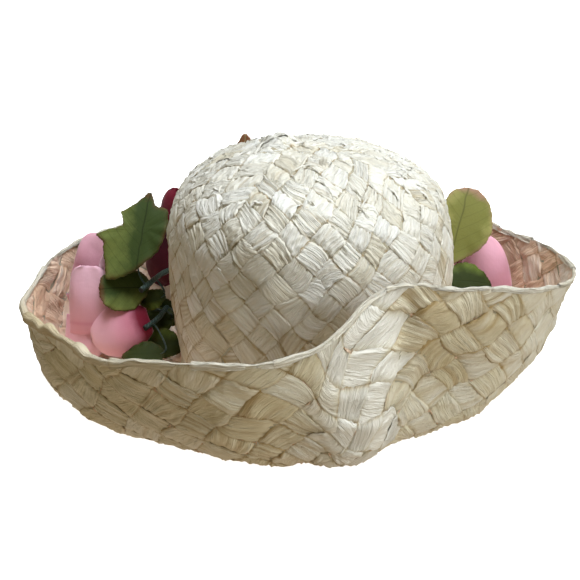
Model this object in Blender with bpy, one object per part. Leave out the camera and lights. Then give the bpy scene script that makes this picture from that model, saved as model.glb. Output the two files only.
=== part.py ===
"""Woven straw hat with an upturned brim and a garland of fabric roses.

Frame: metres, +Z up. The hat stands on the lowest ring of its brim, at z = 0.
-Y is the plain side, where the brim steps up in one S-shaped turn, and +Y is
the side that carries the flowers. +X is to the right when looking along +Y.

The hat is a domed crown and a rolled brim that meet at the head opening. Both
are plaited from flat strips: here each is one wall of the plait's real
thickness, and the brim's free edge is turned back, so it is thicker and round.
The garland lies in the trough between crown and brim: three fabric roses, six
leaves and two wire stems. The stems run round the back of the crown.
"""

import math

import bmesh
import bpy
import numpy as np
from mathutils import Vector

MM = 0.001

# ---- driving dimensions, in millimetres -------------------------------------
AXIS_X = 9.0             # the sections of the brim turn about this X
WALL = 2.2               # plaited wall
RIM_WALL = 3.6           # the free edge, where the strips are turned back
SEAM_Z = 17.0            # height of the head opening
SEAM_GAP = 0.3           # between crown and brim at the head opening
INNER_SHARE = 0.22       # part of the brim's width from the head opening to its lowest ring
CROWN_SEGMENTS = 48      # facets round the crown
CROWN_ROWS = 14          # facets from its top to the head opening
BRIM_SEGMENTS = 84       # facets round the brim
BRIM_ROWS = 15           # facets from the head opening to the free edge
TURN_AZIMUTH = 284.0      # the S-shaped turn of the free edge, in degrees
TURN_WIDTH = 24.0
TURN_CLOSER = 1.6        # facets are this much denser there
LEAF_THICKNESS = 1.0
FOOTPRINT_MIDDLE = (0.76, 6.01)  # X, Y of the footprint's middle in the tables below, which becomes the origin
STEM_RADIUS = 1.9

# ---- sections ---------------------------------------------------------------
# Levels of the crown, from the head opening to the top.
#   height, centre_x, half_width (X), half_depth (Y)
CROWN_SECTIONS = (
    (17.0, 8.0, 85.4, 92.2),
    (38.0, 8.4, 89.1, 96.2),
    (60.0, 8.9, 92.0, 99.4),
    (82.0, 9.9, 92.9, 100.3),
    (102.0, 10.0, 92.3, 99.6),
    (120.0, 9.0, 90.0, 97.4),
    (136.0, 8.4, 83.2, 90.0),
    (148.0, 7.2, 68.8, 74.4),
    (157.0, 5.6, 49.6, 53.8),
    (163.0, 4.2, 26.0, 28.2),
    (165.0, 3.4, 0.0, 0.0),
)

# Sections of the brim, by their azimuth in degrees (0 = +X, 90 = +Y).
#   azimuth, ring_radius and ring_height (the lowest line), rim_radius and
#   rim_height (the free edge), bulge (how far the section swings out before it
#   turns up), lean (of the free edge from upright, + outwards, in degrees)
BRIM_SECTIONS = (
    (0.0, 117.5, 2.2, 174.7, 80.7, 40.6, 22.0),
    (20.0, 119.3, 0.4, 175.0, 78.6, 38.7, 20.0),
    (40.0, 120.9, 0.0, 172.6, 75.6, 35.8, 18.0),
    (65.0, 122.6, 0.0, 170.6, 76.0, 33.4, 15.0),
    (90.0, 124.7, 0.0, 171.5, 76.4, 32.7, 12.0),
    (115.0, 127.4, 0.0, 176.4, 75.4, 34.5, 16.2),
    (135.0, 130.9, 0.0, 183.0, 72.6, 39.3, 19.5),
    (155.0, 134.9, 0.0, 190.4, 70.0, 46.3, 23.1),
    (172.0, 138.0, 0.0, 191.5, 64.0, 54.5, 26.0),
    (186.0, 138.6, 0.0, 190.5, 61.8, 58.0, 28.0),
    (200.0, 135.8, 0.0, 181.5, 65.6, 52.5, 27.0),
    (212.0, 131.0, 0.0, 172.8, 66.0, 45.0, 25.0),
    (224.0, 124.6, 0.0, 170.0, 66.4, 36.7, 21.0),
    (236.0, 120.0, 0.0, 167.5, 74.4, 32.0, 16.0),
    (248.0, 118.4, 0.0, 166.2, 79.3, 32.6, 11.5),
    (258.0, 114.8, 0.0, 163.5, 83.4, 31.6, 7.0),
    (266.0, 112.4, 0.0, 159.4, 87.0, 31.9, 1.0),
    (273.0, 111.4, 0.0, 153.6, 93.0, 33.6, -9.0),
    (279.0, 111.3, 0.0, 143.3, 104.2, 35.6, -19.0),
    (285.0, 110.4, 0.0, 137.2, 113.0, 34.2, -22.0),
    (291.0, 108.6, 0.9, 136.3, 115.3, 27.0, -6.0),
    (297.0, 108.2, 2.0, 137.6, 114.6, 24.0, 5.0),
    (306.0, 109.4, 3.4, 142.0, 110.6, 26.0, 9.0),
    (318.0, 112.0, 4.4, 150.2, 102.8, 29.6, 12.0),
    (332.0, 112.9, 4.6, 160.0, 94.0, 32.9, 15.0),
    (346.0, 114.4, 3.8, 168.0, 86.6, 34.5, 19.0),
)
# The free edge wavers a little: waves round the edge, height, reach, phase (degrees)
EDGE_WAVES = (
    (9.0, 0.9, 0.7, 60.0),
    (17.0, 0.6, 0.5, 130.0),
)

# ---- garland ----------------------------------------------------------------
# Fabric roses. Place of the middle, direction in which the rose looks, size,
# how deep it is for its size, and the turn of its petals.
#   name, x, y, z, look_x, look_y, look_z, radius, depth, turn, colour
ROSES = (
    ("rose_pink_left", -134.0, 30.0, 48.0, -0.88, 0.36, 0.30, 39.0, 0.84, 20.0, "pink"),
    ("rose_pink_right", 123.0, 75.0, 62.0, 0.66, 0.62, 0.42, 32.0, 0.84, 64.0, "pink"),
    ("rose_magenta", -84.0, 109.0, 80.0, -0.36, 0.50, 0.78, 34.0, 0.86, 0.0, "magenta"),
)
# From the back of a rose to its bud, as shares of its radius.
#   radius, height, lobe (how deep the petals' outline is notched), turn (degrees)
ROSE_PROFILE = (
    (0.16, -0.62, 0.00, 0.0),
    (0.46, -0.50, 0.02, 0.0),
    (0.78, -0.26, 0.06, 0.0),
    (0.98, 0.04, 0.10, 0.0),
    (1.00, 0.22, 0.13, 0.0),
    (0.90, 0.26, 0.11, 4.0),
    (0.80, 0.20, 0.07, 18.0),
    (0.74, 0.32, 0.06, 36.0),
    (0.76, 0.50, 0.10, 40.0),
    (0.66, 0.54, 0.09, 42.0),
    (0.55, 0.44, 0.05, 56.0),
    (0.48, 0.56, 0.06, 72.0),
    (0.47, 0.72, 0.09, 76.0),
    (0.37, 0.74, 0.07, 80.0),
    (0.27, 0.64, 0.04, 96.0),
    (0.20, 0.74, 0.05, 110.0),
    (0.13, 0.84, 0.05, 114.0),
)
ROSE_PETALS = 5
ROSE_SEGMENTS = 45

# Leaves. Each has its outline in its own plane (across, along the picture of
# the leaf), set at a place and facing a direction.
LOBED = (
    (13.2, 31.5), (6.8, 26.6), (0.4, 21.0), (-6.8, 16.9), (-4.4, 11.6), (-5.0, 7.2),
    (-14.4, 4.7), (-24.2, 0.7), (-20.7, -1.6), (-18.4, -5.4), (-18.8, -12.0),
    (-17.0, -21.5), (-15.8, -31.0), (-5.7, -29.9), (7.0, -23.9), (14.8, -17.7),
    (21.0, -11.3), (25.0, -3.4), (27.0, 4.4), (26.4, 12.1), (23.2, 18.6),
    (20.1, 20.1), (17.7, 27.6),
)
SHIELD = (
    (-19.3, 7.5), (-9.3, 12.4), (3.6, 15.0), (12.3, 13.4), (16.8, 4.7), (11.3, -5.9),
    (4.3, -12.9), (-7.1, -14.8), (-17.3, -11.1), (-20.4, -1.8),
)
LOW = (
    (-17.7, -3.0), (-12.9, 1.9), (-5.4, 4.8), (3.3, 4.4), (9.8, 0.3), (12.7, -6.2),
    (10.5, -12.3), (3.8, -14.5), (-7.0, -13.9), (-14.0, -9.3),
)
OVAL = (
    (5.6, 23.4), (15.2, 21.2), (21.7, 13.3), (24.1, 3.2), (23.4, -7.7), (18.8, -17.2),
    (12.0, -23.8), (1.6, -29.4), (-8.2, -32.9), (-12.8, -24.5), (-13.8, -12.4),
    (-13.2, 2.0), (-10.3, 13.0), (-4.8, 20.5),
)
BROAD = (
    (-1.6, 11.4), (5.9, 13.4), (14.0, 11.7), (21.2, 6.2), (25.8, -0.9), (22.5, -7.8),
    (12.9, -12.2), (1.0, -13.7), (-7.7, -9.8), (-10.3, -1.1), (-7.7, 6.5),
)
TALL = (
    (0.3, 32.2), (4.1, 29.6), (7.8, 25.9), (10.8, 19.2), (12.3, 5.7), (9.9, -9.4),
    (4.5, -20.7), (-0.1, -26.1), (-6.1, -19.3), (-10.6, -8.0), (-11.3, 5.5),
    (-8.9, 18.3), (-5.1, 25.1),
)
#   name, outline, x, y, z, face_x, face_y, face_z, scale, cup (mm of bow over the leaf)
LEAVES = (
    ("leaf_left_lobed", LOBED, -113.4, 15.0, 98.8, -0.15, -0.80, 0.55, 0.966, 4.0),
    ("leaf_left_lower", SHIELD, -114.5, 7.5, 61.5, 0.55, -0.70, 0.45, 1.0, 2.5),
    ("leaf_left_floor", LOW, -102.0, -10.0, 27.0, -0.20, -0.45, 0.86, 1.0, 2.0),
    ("leaf_right_oval", OVAL, 114.2, 46.0, 100.6, 0.154, -0.87, 0.46, 0.982, 4.0),
    ("leaf_right_lower", BROAD, 111.5, 24.0, 63.0, 0.20, -0.75, 0.61, 1.0, 2.5),
    ("leaf_back_tall", TALL, -40.0, 121.0, 110.0, -0.10, -0.97, 0.20, 1.0, 3.0),
)

# Wire stems: places of the middle line, from the cut end at the left.
#   x, y, z
STEM_UPPER = (
    (-105.0, 0.0, 64.5), (-98.5, 15.0, 66.0), (-93.5, 32.0, 65.0), (-84.5, 55.0, 60.0),
    (-64.0, 79.5, 52.0), (-36.0, 98.0, 48.0), (0.0, 108.0, 46.0), (38.0, 104.0, 46.0),
    (66.0, 89.5, 47.0),
)
STEM_LOWER = (
    (-103.5, -2.0, 37.5), (-95.0, 14.0, 39.5), (-92.5, 30.0, 39.0), (-86.0, 48.0, 36.0),
    (-71.0, 70.5, 31.0), (-46.0, 90.5, 28.0), (-10.0, 103.0, 26.0), (32.0, 101.0, 26.0),
    (64.0, 86.0, 27.0), (88.0, 59.0, 30.0), (98.5, 30.0, 36.0),
)

COLOURS = {
    "straw": ((0.80, 0.77, 0.66), 0.5),
    "pink": ((0.78, 0.42, 0.55), 0.7),
    "magenta": ((0.24, 0.01, 0.06), 0.7),
    "leaf": ((0.10, 0.16, 0.06), 0.6),
    "wire": ((0.02, 0.05, 0.04), 0.45),
}


# ---- curves -----------------------------------------------------------------
def spline(knots, values, at, period=None):
    """The cubic spline through values at knots: natural, or closed over period."""
    x = np.asarray(knots, float)
    y = np.asarray(values, float)
    at = np.asarray(at, float)
    if period is not None:
        start = x[0]
        x = np.concatenate([x[-4:] - period, x, x[:4] + period])
        y = np.concatenate([y[-4:], y, y[:4]])
        at = np.mod(at - start, period) + start
    n = len(x)
    h = np.diff(x)
    matrix = np.zeros((n, n))
    right = np.zeros(n)
    matrix[0, 0] = matrix[-1, -1] = 1.0
    for i in range(1, n - 1):
        matrix[i, i - 1] = h[i - 1]
        matrix[i, i] = 2 * (h[i - 1] + h[i])
        matrix[i, i + 1] = h[i]
        right[i] = 6 * ((y[i + 1] - y[i]) / h[i] - (y[i] - y[i - 1]) / h[i - 1])
    m = np.linalg.solve(matrix, right)
    i = np.clip(np.searchsorted(x, at) - 1, 0, n - 2)
    a = (x[i + 1] - at) / h[i]
    b = (at - x[i]) / h[i]
    bend = ((a**3 - a) * m[i] + (b**3 - b) * m[i + 1]) * h[i] ** 2 / 6
    return a * y[i] + b * y[i + 1] + bend


def column(table, k):
    return [row[k] for row in table]


def bezier(p0, p1, p2, p3, t):
    return (1 - t) ** 3 * p0 + 3 * (1 - t) ** 2 * t * p1 + 3 * (1 - t) * t**2 * p2 + t**3 * p3


def crown_point(azimuth, down):
    """The crown's middle surface: azimuth in radians, down from 0 at its top to 1 at the head opening."""
    height, middle, width, depth = (column(CROWN_SECTIONS, k) for k in range(4))
    run = [0.0]
    for i in range(1, len(height)):
        run.append(run[-1] + math.hypot(height[i] - height[i - 1], width[i] - width[i - 1]))
    total = run[-1]
    # mirrored past the top, so that the dome is level there
    run = run + [2 * total - r for r in run[-2:-5:-1]]
    at = total * (1.0 - np.asarray(down, float))
    z = spline(run, height + height[-2:-5:-1], at)
    cx = spline(run, middle + middle[-2:-5:-1], at)
    a = np.maximum(spline(run, width + [-w for w in width[-2:-5:-1]], at), 0.0)
    b = np.maximum(spline(run, depth + [-d for d in depth[-2:-5:-1]], at), 0.0)
    azimuth = np.asarray(azimuth, float)
    return np.stack(
        np.broadcast_arrays(cx + a * np.cos(azimuth), b * np.sin(azimuth), z), -1
    ) * MM


def opening_radius(azimuth):
    """From the brim's axis to the head opening, which is an oval off that axis."""
    _, cx, a, b = CROWN_SECTIONS[0]
    dx = AXIS_X - cx
    c, s = np.cos(azimuth), np.sin(azimuth)
    p = (c / a) ** 2 + (s / b) ** 2
    q = dx * c / a**2
    r = (dx / a) ** 2 - 1.0
    return (-q + np.sqrt(q * q - p * r)) / p


def brim_point(azimuth, out):
    """The brim's middle surface: azimuth in radians, out from 0 at the head opening to 1 at the free edge."""
    azimuth, out = np.broadcast_arrays(np.asarray(azimuth, float), np.asarray(out, float))
    knots = column(BRIM_SECTIONS, 0)
    ring_r, ring_z, rim_r, rim_z, bulge, lean = (
        spline(knots, column(BRIM_SECTIONS, k), np.degrees(azimuth), 360.0) for k in range(1, 7)
    )
    ring_z = np.maximum(ring_z, 0.0) + WALL / 2
    lean = np.radians(lean)
    start_r = opening_radius(azimuth)
    start_z = SEAM_Z - SEAM_GAP
    span = ring_r - start_r
    drop = start_z - ring_z
    # from the head opening down to the lowest ring
    t = np.clip(out / INNER_SHARE, 0, 1)
    r_in = bezier(start_r, start_r + span * 0.12, ring_r - span * 0.6, ring_r, t)
    z_in = bezier(start_z, start_z - drop * 0.62, ring_z, ring_z, t)
    # from the lowest ring up to the free edge
    t = np.clip((out - INNER_SHARE) / (1 - INNER_SHARE), 0, 1)
    handle = 0.42 * (rim_z - ring_z)
    r_out = bezier(ring_r, ring_r + bulge, rim_r - handle * np.sin(lean), rim_r, t)
    z_out = bezier(ring_z, ring_z, rim_z - handle * np.cos(lean), rim_z, t)
    r = np.where(out <= INNER_SHARE, r_in, r_out)
    z = np.where(out <= INNER_SHARE, z_in, z_out)
    for waves, height, reach, phase in EDGE_WAVES:
        swing = np.sin(waves * azimuth + math.radians(phase)) * t**2
        z = z + height * swing
        r = r + reach * np.cos((waves - 2) * azimuth + math.radians(phase)) * t**2
    return np.stack([AXIS_X + r * np.cos(azimuth), r * np.sin(azimuth), z], -1) * MM


def upper_side(surface, azimuth, v, step=2e-4):
    """Unit normals of a surface, out of the crown's dome and into the brim's trough."""
    along = surface(azimuth + step, v) - surface(azimuth - step, v)
    across = surface(azimuth, np.clip(v + step, 0, 1)) - surface(azimuth, np.clip(v - step, 0, 1))
    n = -np.cross(along, across)
    return n / np.maximum(np.linalg.norm(n, axis=-1, keepdims=True), 1e-15)


# ---- objects ----------------------------------------------------------------
def material(name):
    colour, roughness = COLOURS[name]
    made = bpy.data.materials.new(name)
    made.use_nodes = True
    shader = made.node_tree.nodes["Principled BSDF"]
    shader.inputs["Base Color"].default_value = (*colour, 1.0)
    shader.inputs["Roughness"].default_value = roughness
    made.diffuse_color = (*colour, 1.0)
    return made


def placed(points):
    """Points in the object's frame, from points in the tables' frame."""
    return np.asarray(points, float) - np.array([*FOOTPRINT_MIDDLE, 0.0]) * MM


def add(name, verts, faces, mat, sharp=50.0):
    mesh = bpy.data.meshes.new(name)
    mesh.from_pydata([tuple(v) for v in placed(verts).tolist()], [], faces)
    bm = bmesh.new()
    bm.from_mesh(mesh)
    bmesh.ops.recalc_face_normals(bm, faces=bm.faces)
    bm.to_mesh(mesh)
    bm.free()
    mesh.shade_smooth()
    mesh.set_sharp_from_angle(angle=math.radians(sharp))
    mesh.materials.append(mat)
    obj = bpy.data.objects.new(name, mesh)
    bpy.context.scene.collection.objects.link(obj)
    return obj


def band(first, second):
    """Quads between two closed rings of vertex numbers."""
    n = len(first)
    return [(first[i], first[(i + 1) % n], second[(i + 1) % n], second[i]) for i in range(n)]


def fan(point, ring):
    n = len(ring)
    return [(point, ring[i], ring[(i + 1) % n]) for i in range(n)]


def make_crown(mat):
    azimuth = np.linspace(0, 2 * np.pi, CROWN_SEGMENTS, endpoint=False)
    verts, faces, last = [], [], []
    for side in (0.5, -0.5):
        top = crown_point(0.0, 0.0) + np.array([0, 0, side * WALL * MM])
        verts.append(top)
        before = None
        apex = len(verts) - 1
        for row in range(1, CROWN_ROWS + 1):
            v = np.full_like(azimuth, row / CROWN_ROWS)
            points = crown_point(azimuth, v) + upper_side(crown_point, azimuth, v) * side * WALL * MM
            if row == CROWN_ROWS:
                points[:, 2] = SEAM_Z * MM
            ring = list(range(len(verts), len(verts) + CROWN_SEGMENTS))
            verts.extend(points)
            faces += fan(apex, ring) if before is None else band(before, ring)
            before = ring
        last.append(before)
    faces += band(last[0], last[1])
    return add("crown", verts, faces, mat)


def brim_azimuths():
    """Facets round the brim, closer together where its edge turns."""
    fine = np.linspace(0, 2 * np.pi, 721)
    close = 1.0 + TURN_CLOSER * np.exp(-(((np.degrees(fine) - TURN_AZIMUTH) / TURN_WIDTH) ** 2))
    run = np.concatenate([[0], np.cumsum((close[1:] + close[:-1]) / 2)])
    return np.interp(np.linspace(0, run[-1], BRIM_SEGMENTS, endpoint=False), run, fine)


def make_brim(mat):
    azimuth = brim_azimuths()
    inner = max(3, round(BRIM_ROWS * INNER_SHARE))
    shares = list(np.linspace(0, INNER_SHARE, inner + 1)) + list(
        np.linspace(INNER_SHARE, 1, BRIM_ROWS - inner + 1)[1:]
    )
    verts, faces, ends = [], [], []
    for side in (0.5, -0.5):
        before = None
        for share in shares:
            v = np.full_like(azimuth, share)
            wall = WALL + (RIM_WALL - WALL) * max(0.0, (share - 0.9) / 0.1)
            points = brim_point(azimuth, v) + upper_side(brim_point, azimuth, v) * side * wall * MM
            if before is None:
                points[:, 2] = (SEAM_Z - SEAM_GAP) * MM
            ring = list(range(len(verts), len(verts) + BRIM_SEGMENTS))
            verts.extend(points)
            if before is not None:
                faces += band(before, ring)
            else:
                ends.append(ring)
            before = ring
        ends.append(before)
    faces += band(ends[0], ends[2])
    # the turned-back edge is round
    v = np.ones_like(azimuth)
    tip = brim_point(azimuth, v)
    across = upper_side(brim_point, azimuth, v)
    onward = tip - brim_point(azimuth, v - 0.02)
    onward /= np.linalg.norm(onward, axis=-1, keepdims=True)
    before = ends[1]
    for turn in (50.0, 90.0, 130.0):
        a = math.radians(turn)
        points = tip + (across * math.cos(a) + onward * math.sin(a)) * RIM_WALL / 2 * MM
        ring = list(range(len(verts), len(verts) + BRIM_SEGMENTS))
        verts.extend(points)
        faces += band(before, ring)
        before = ring
    faces += band(before, ends[3])
    return add("brim", verts, faces, mat)


def frame_of(direction):
    """Three unit vectors, the last along direction and the second as near upright as it goes."""
    look = Vector(direction).normalized()
    side = Vector((0, 0, 1)).cross(look)
    side = side.normalized() if side.length > 1e-6 else Vector((1, 0, 0))
    return np.array(side), np.array(look.cross(side)), np.array(look)


def make_rose(row, mats):
    name, x, y, z, lx, ly, lz, radius, depth, turn, colour = row
    side, upright, look = frame_of((lx, ly, lz))
    angle = np.linspace(0, 2 * np.pi, ROSE_SEGMENTS, endpoint=False)
    centre = np.array([x, y, z])
    verts, rings = [], []
    for share, height, lobe, twist in ROSE_PROFILE:
        petals = np.abs(np.cos(ROSE_PETALS / 2 * (angle - math.radians(turn + twist)))) ** 0.7
        r = radius * share * (1 - lobe + lobe * petals)
        h = radius * depth * (height + 0.10 * share * lobe * 10 * (petals - 0.6))
        points = (
            centre
            + np.outer(r * np.cos(angle), side)
            + np.outer(r * np.sin(angle), upright)
            + np.outer(h, look)
        )
        rings.append(list(range(len(verts), len(verts) + ROSE_SEGMENTS)))
        verts.extend(points * MM)
    faces = []
    for first, second in zip(rings, rings[1:]):
        faces += band(first, second)
    for ring, height in ((rings[0], ROSE_PROFILE[0][1] - 0.03), (rings[-1], ROSE_PROFILE[-1][1] - 0.05)):
        verts.append((centre + look * radius * depth * height) * MM)
        faces += fan(len(verts) - 1, ring)
    return add(name, verts, faces, mats[colour], sharp=60.0)


def make_leaf(row, mat):
    name, outline, x, y, z, fx, fy, fz, scale, cup = row
    face = np.array([fx, fy, fz])
    face /= np.linalg.norm(face)
    right = np.array([1.0, 0, 0]) - face[0] * face
    right /= np.linalg.norm(right)
    upright = np.cross(face, right)
    if upright[2] < 0:
        upright = -upright
    edge = np.array(outline) * scale
    middle = edge.mean(0)
    reach = np.linalg.norm(edge - middle, axis=1).max()
    verts, faces, rims = [], [], []
    for side in (0.5, -0.5):
        before = None
        centre = None
        for share in (0.0, 0.4, 0.75, 1.0):
            flat = middle + (edge - middle) * share if share else middle[None]
            bow = -cup * ((flat - middle) ** 2).sum(1) / reach**2
            points = (
                np.array([x, y, z])
                + np.outer(flat[:, 0], right)
                + np.outer(flat[:, 1], upright)
                + np.outer(bow + side * LEAF_THICKNESS, face)
            )
            ring = list(range(len(verts), len(verts) + len(points)))
            verts.extend(points * MM)
            if centre is None:
                centre = ring[0]
                continue
            faces += fan(centre, ring) if before is None else band(before, ring)
            before = ring
        rims.append(before)
    faces += band(rims[0], rims[1])
    return add(name, verts, faces, mat)


def make_stem(name, places, mat):
    curve = bpy.data.curves.new(name, "CURVE")
    curve.dimensions = "3D"
    curve.bevel_depth = STEM_RADIUS * MM
    curve.bevel_resolution = 2
    curve.use_fill_caps = True
    line = curve.splines.new("POLY")
    run = np.concatenate([[0], np.cumsum(np.linalg.norm(np.diff(np.array(places), axis=0), axis=1))])
    at = np.linspace(0, run[-1], 3 * len(places))
    points = placed(np.stack([spline(run, column(places, k), at) for k in range(3)], -1) * MM)
    line.points.add(len(points) - 1)
    for point, place in zip(line.points, points):
        point.co = (*place, 1.0)
    curve.materials.append(mat)
    obj = bpy.data.objects.new(name, curve)
    bpy.context.scene.collection.objects.link(obj)
    return obj


def main():
    for obj in list(bpy.data.objects):
        bpy.data.objects.remove(obj, do_unlink=True)
    mats = {name: material(name) for name in COLOURS}
    make_crown(mats["straw"])
    make_brim(mats["straw"])
    for row in ROSES:
        make_rose(row, mats)
    for row in LEAVES:
        make_leaf(row, mats["leaf"])
    make_stem("stem_upper", STEM_UPPER, mats["wire"])
    make_stem("stem_lower", STEM_LOWER, mats["wire"])


if __name__ == "__main__":
    main()
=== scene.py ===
import math

import bpy
import numpy as np
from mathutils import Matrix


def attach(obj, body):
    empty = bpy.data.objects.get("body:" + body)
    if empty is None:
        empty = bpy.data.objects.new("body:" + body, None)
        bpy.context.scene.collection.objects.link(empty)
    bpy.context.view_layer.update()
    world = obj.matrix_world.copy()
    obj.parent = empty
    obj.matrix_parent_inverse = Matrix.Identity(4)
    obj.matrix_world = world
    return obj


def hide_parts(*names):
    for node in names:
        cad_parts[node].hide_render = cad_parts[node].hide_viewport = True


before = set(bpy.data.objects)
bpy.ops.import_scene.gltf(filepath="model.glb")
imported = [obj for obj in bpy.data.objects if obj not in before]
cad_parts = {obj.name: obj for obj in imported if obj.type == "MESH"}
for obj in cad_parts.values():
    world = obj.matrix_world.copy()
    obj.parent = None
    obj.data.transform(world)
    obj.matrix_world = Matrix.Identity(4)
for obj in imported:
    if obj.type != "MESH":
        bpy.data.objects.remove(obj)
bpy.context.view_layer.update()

MM = 0.001
rng = np.random.default_rng(20)

# ---- the hat's own sections, the same numbers as the CAD ---------------------
AXIS_X = 9.0
WALL = 2.2
RIM_WALL = 3.6
SEAM_Z = 17.0
SEAM_GAP = 0.3
INNER_SHARE = 0.22
FOOTPRINT_MIDDLE = (0.76, 6.01)
STEM_RADIUS = 1.9

CROWN_SECTIONS = (
    (17.0, 8.0, 85.4, 92.2),
    (38.0, 8.4, 89.1, 96.2),
    (60.0, 8.9, 92.0, 99.4),
    (82.0, 9.9, 92.9, 100.3),
    (102.0, 10.0, 92.3, 99.6),
    (120.0, 9.0, 90.0, 97.4),
    (136.0, 8.4, 83.2, 90.0),
    (148.0, 7.2, 68.8, 74.4),
    (157.0, 5.6, 49.6, 53.8),
    (163.0, 4.2, 26.0, 28.2),
    (165.0, 3.4, 0.0, 0.0),
)

BRIM_SECTIONS = (
    (0.0, 117.5, 2.2, 174.7, 80.7, 40.6, 22.0),
    (20.0, 119.3, 0.4, 175.0, 78.6, 38.7, 20.0),
    (40.0, 120.9, 0.0, 172.6, 75.6, 35.8, 18.0),
    (65.0, 122.6, 0.0, 170.6, 76.0, 33.4, 15.0),
    (90.0, 124.7, 0.0, 171.5, 76.4, 32.7, 12.0),
    (115.0, 127.4, 0.0, 176.4, 75.4, 34.5, 16.2),
    (135.0, 130.9, 0.0, 183.0, 72.6, 39.3, 19.5),
    (155.0, 134.9, 0.0, 190.4, 70.0, 46.3, 23.1),
    (172.0, 138.0, 0.0, 191.5, 64.0, 54.5, 26.0),
    (186.0, 138.6, 0.0, 190.5, 61.8, 58.0, 28.0),
    (200.0, 135.8, 0.0, 181.5, 65.6, 52.5, 27.0),
    (212.0, 131.0, 0.0, 172.8, 66.0, 45.0, 25.0),
    (224.0, 124.6, 0.0, 170.0, 66.4, 36.7, 21.0),
    (236.0, 120.0, 0.0, 167.5, 74.4, 32.0, 16.0),
    (248.0, 118.4, 0.0, 166.2, 79.3, 32.6, 11.5),
    (258.0, 114.8, 0.0, 163.5, 83.4, 31.6, 7.0),
    (266.0, 112.4, 0.0, 159.4, 87.0, 31.9, 1.0),
    (273.0, 111.4, 0.0, 153.6, 93.0, 33.6, -9.0),
    (279.0, 111.3, 0.0, 143.3, 104.2, 35.6, -19.0),
    (285.0, 110.4, 0.0, 137.2, 113.0, 34.2, -22.0),
    (291.0, 108.6, 0.9, 136.3, 115.3, 27.0, -6.0),
    (297.0, 108.2, 2.0, 137.6, 114.6, 24.0, 5.0),
    (306.0, 109.4, 3.4, 142.0, 110.6, 26.0, 9.0),
    (318.0, 112.0, 4.4, 150.2, 102.8, 29.6, 12.0),
    (332.0, 112.9, 4.6, 160.0, 94.0, 32.9, 15.0),
    (346.0, 114.4, 3.8, 168.0, 86.6, 34.5, 19.0),
)
EDGE_WAVES = (
    (9.0, 0.9, 0.7, 60.0),
    (17.0, 0.6, 0.5, 130.0),
)

LOBED = (
    (13.2, 31.5), (6.8, 26.6), (0.4, 21.0), (-6.8, 16.9), (-4.4, 11.6), (-5.0, 7.2),
    (-14.4, 4.7), (-24.2, 0.7), (-20.7, -1.6), (-18.4, -5.4), (-18.8, -12.0),
    (-17.0, -21.5), (-15.8, -31.0), (-5.7, -29.9), (7.0, -23.9), (14.8, -17.7),
    (21.0, -11.3), (25.0, -3.4), (27.0, 4.4), (27.2, 12.6), (26.0, 18.4),
    (20.6, 19.8), (17.2, 22.0), (15.9, 27.2),
)
SHIELD = (
    (-19.3, 7.5), (-9.3, 12.4), (3.6, 15.0), (12.3, 13.4), (16.8, 4.7), (11.3, -5.9),
    (4.3, -12.9), (-7.1, -14.8), (-17.3, -11.1), (-20.4, -1.8),
)
LOW = (
    (-17.7, -3.0), (-12.9, 1.9), (-5.4, 4.8), (3.3, 4.4), (9.8, 0.3), (12.7, -6.2),
    (10.5, -12.3), (3.8, -14.5), (-7.0, -13.9), (-14.0, -9.3),
)
OVAL = (
    (5.6, 23.4), (15.2, 21.2), (21.7, 13.3), (24.1, 3.2), (23.4, -7.7), (18.8, -17.2),
    (12.0, -23.8), (1.6, -29.4), (-8.2, -32.9), (-12.8, -24.5), (-13.8, -12.4),
    (-13.2, 2.0), (-10.3, 13.0), (-4.8, 20.5),
)
BROAD = (
    (-1.6, 11.4), (5.9, 13.4), (14.0, 11.7), (21.2, 6.2), (25.8, -0.9), (22.5, -7.8),
    (12.9, -12.2), (1.0, -13.7), (-7.7, -9.8), (-10.3, -1.1), (-7.7, 6.5),
)
TALL = (
    (0.3, 32.2), (4.1, 29.6), (7.8, 25.9), (10.8, 19.2), (12.3, 5.7), (9.9, -9.4),
    (4.5, -20.7), (-0.1, -26.1), (-6.1, -19.3), (-10.6, -8.0), (-11.3, 5.5),
    (-8.9, 18.3), (-5.1, 25.1),
)
# node, outline, place, direction it faces, scale, bow, stalk end and tip of the midrib, material
LEAVES = (
    ("leaf_left_lobed", LOBED, (-113.4, 15.0, 98.8), (-0.15, -0.80, 0.55), 0.966, 4.0, (6.0, -23.0), (14.0, 31.5), "leaf_left"),
    ("leaf_left_lower", SHIELD, (-114.5, 7.5, 61.5), (0.55, -0.70, 0.45), 1.0, 2.5, (16.0, 4.0), (-20.0, -1.0), "leaf_left"),
    ("leaf_left_floor", LOW, (-102.0, -10.0, 27.0), (-0.20, -0.45, 0.86), 1.0, 2.0, (12.5, -7.0), (-17.7, -3.5), "leaf_dark"),
    ("leaf_right_oval", OVAL, (114.2, 46.0, 100.6), (0.154, -0.87, 0.46), 0.982, 4.0, (-9.0, -33.0), (7.5, 24.0), "leaf_right"),
    ("leaf_right_lower", BROAD, (111.5, 24.0, 63.0), (0.20, -0.75, 0.61), 1.0, 2.5, (-10.0, 0.0), (26.0, -1.0), "leaf_dark"),
    ("leaf_back_tall", TALL, (-40.0, 121.0, 110.0), (-0.10, -0.97, 0.20), 1.0, 3.0, (-0.1, -26.0), (0.3, 32.2), "leaf_brown"),
)

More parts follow.
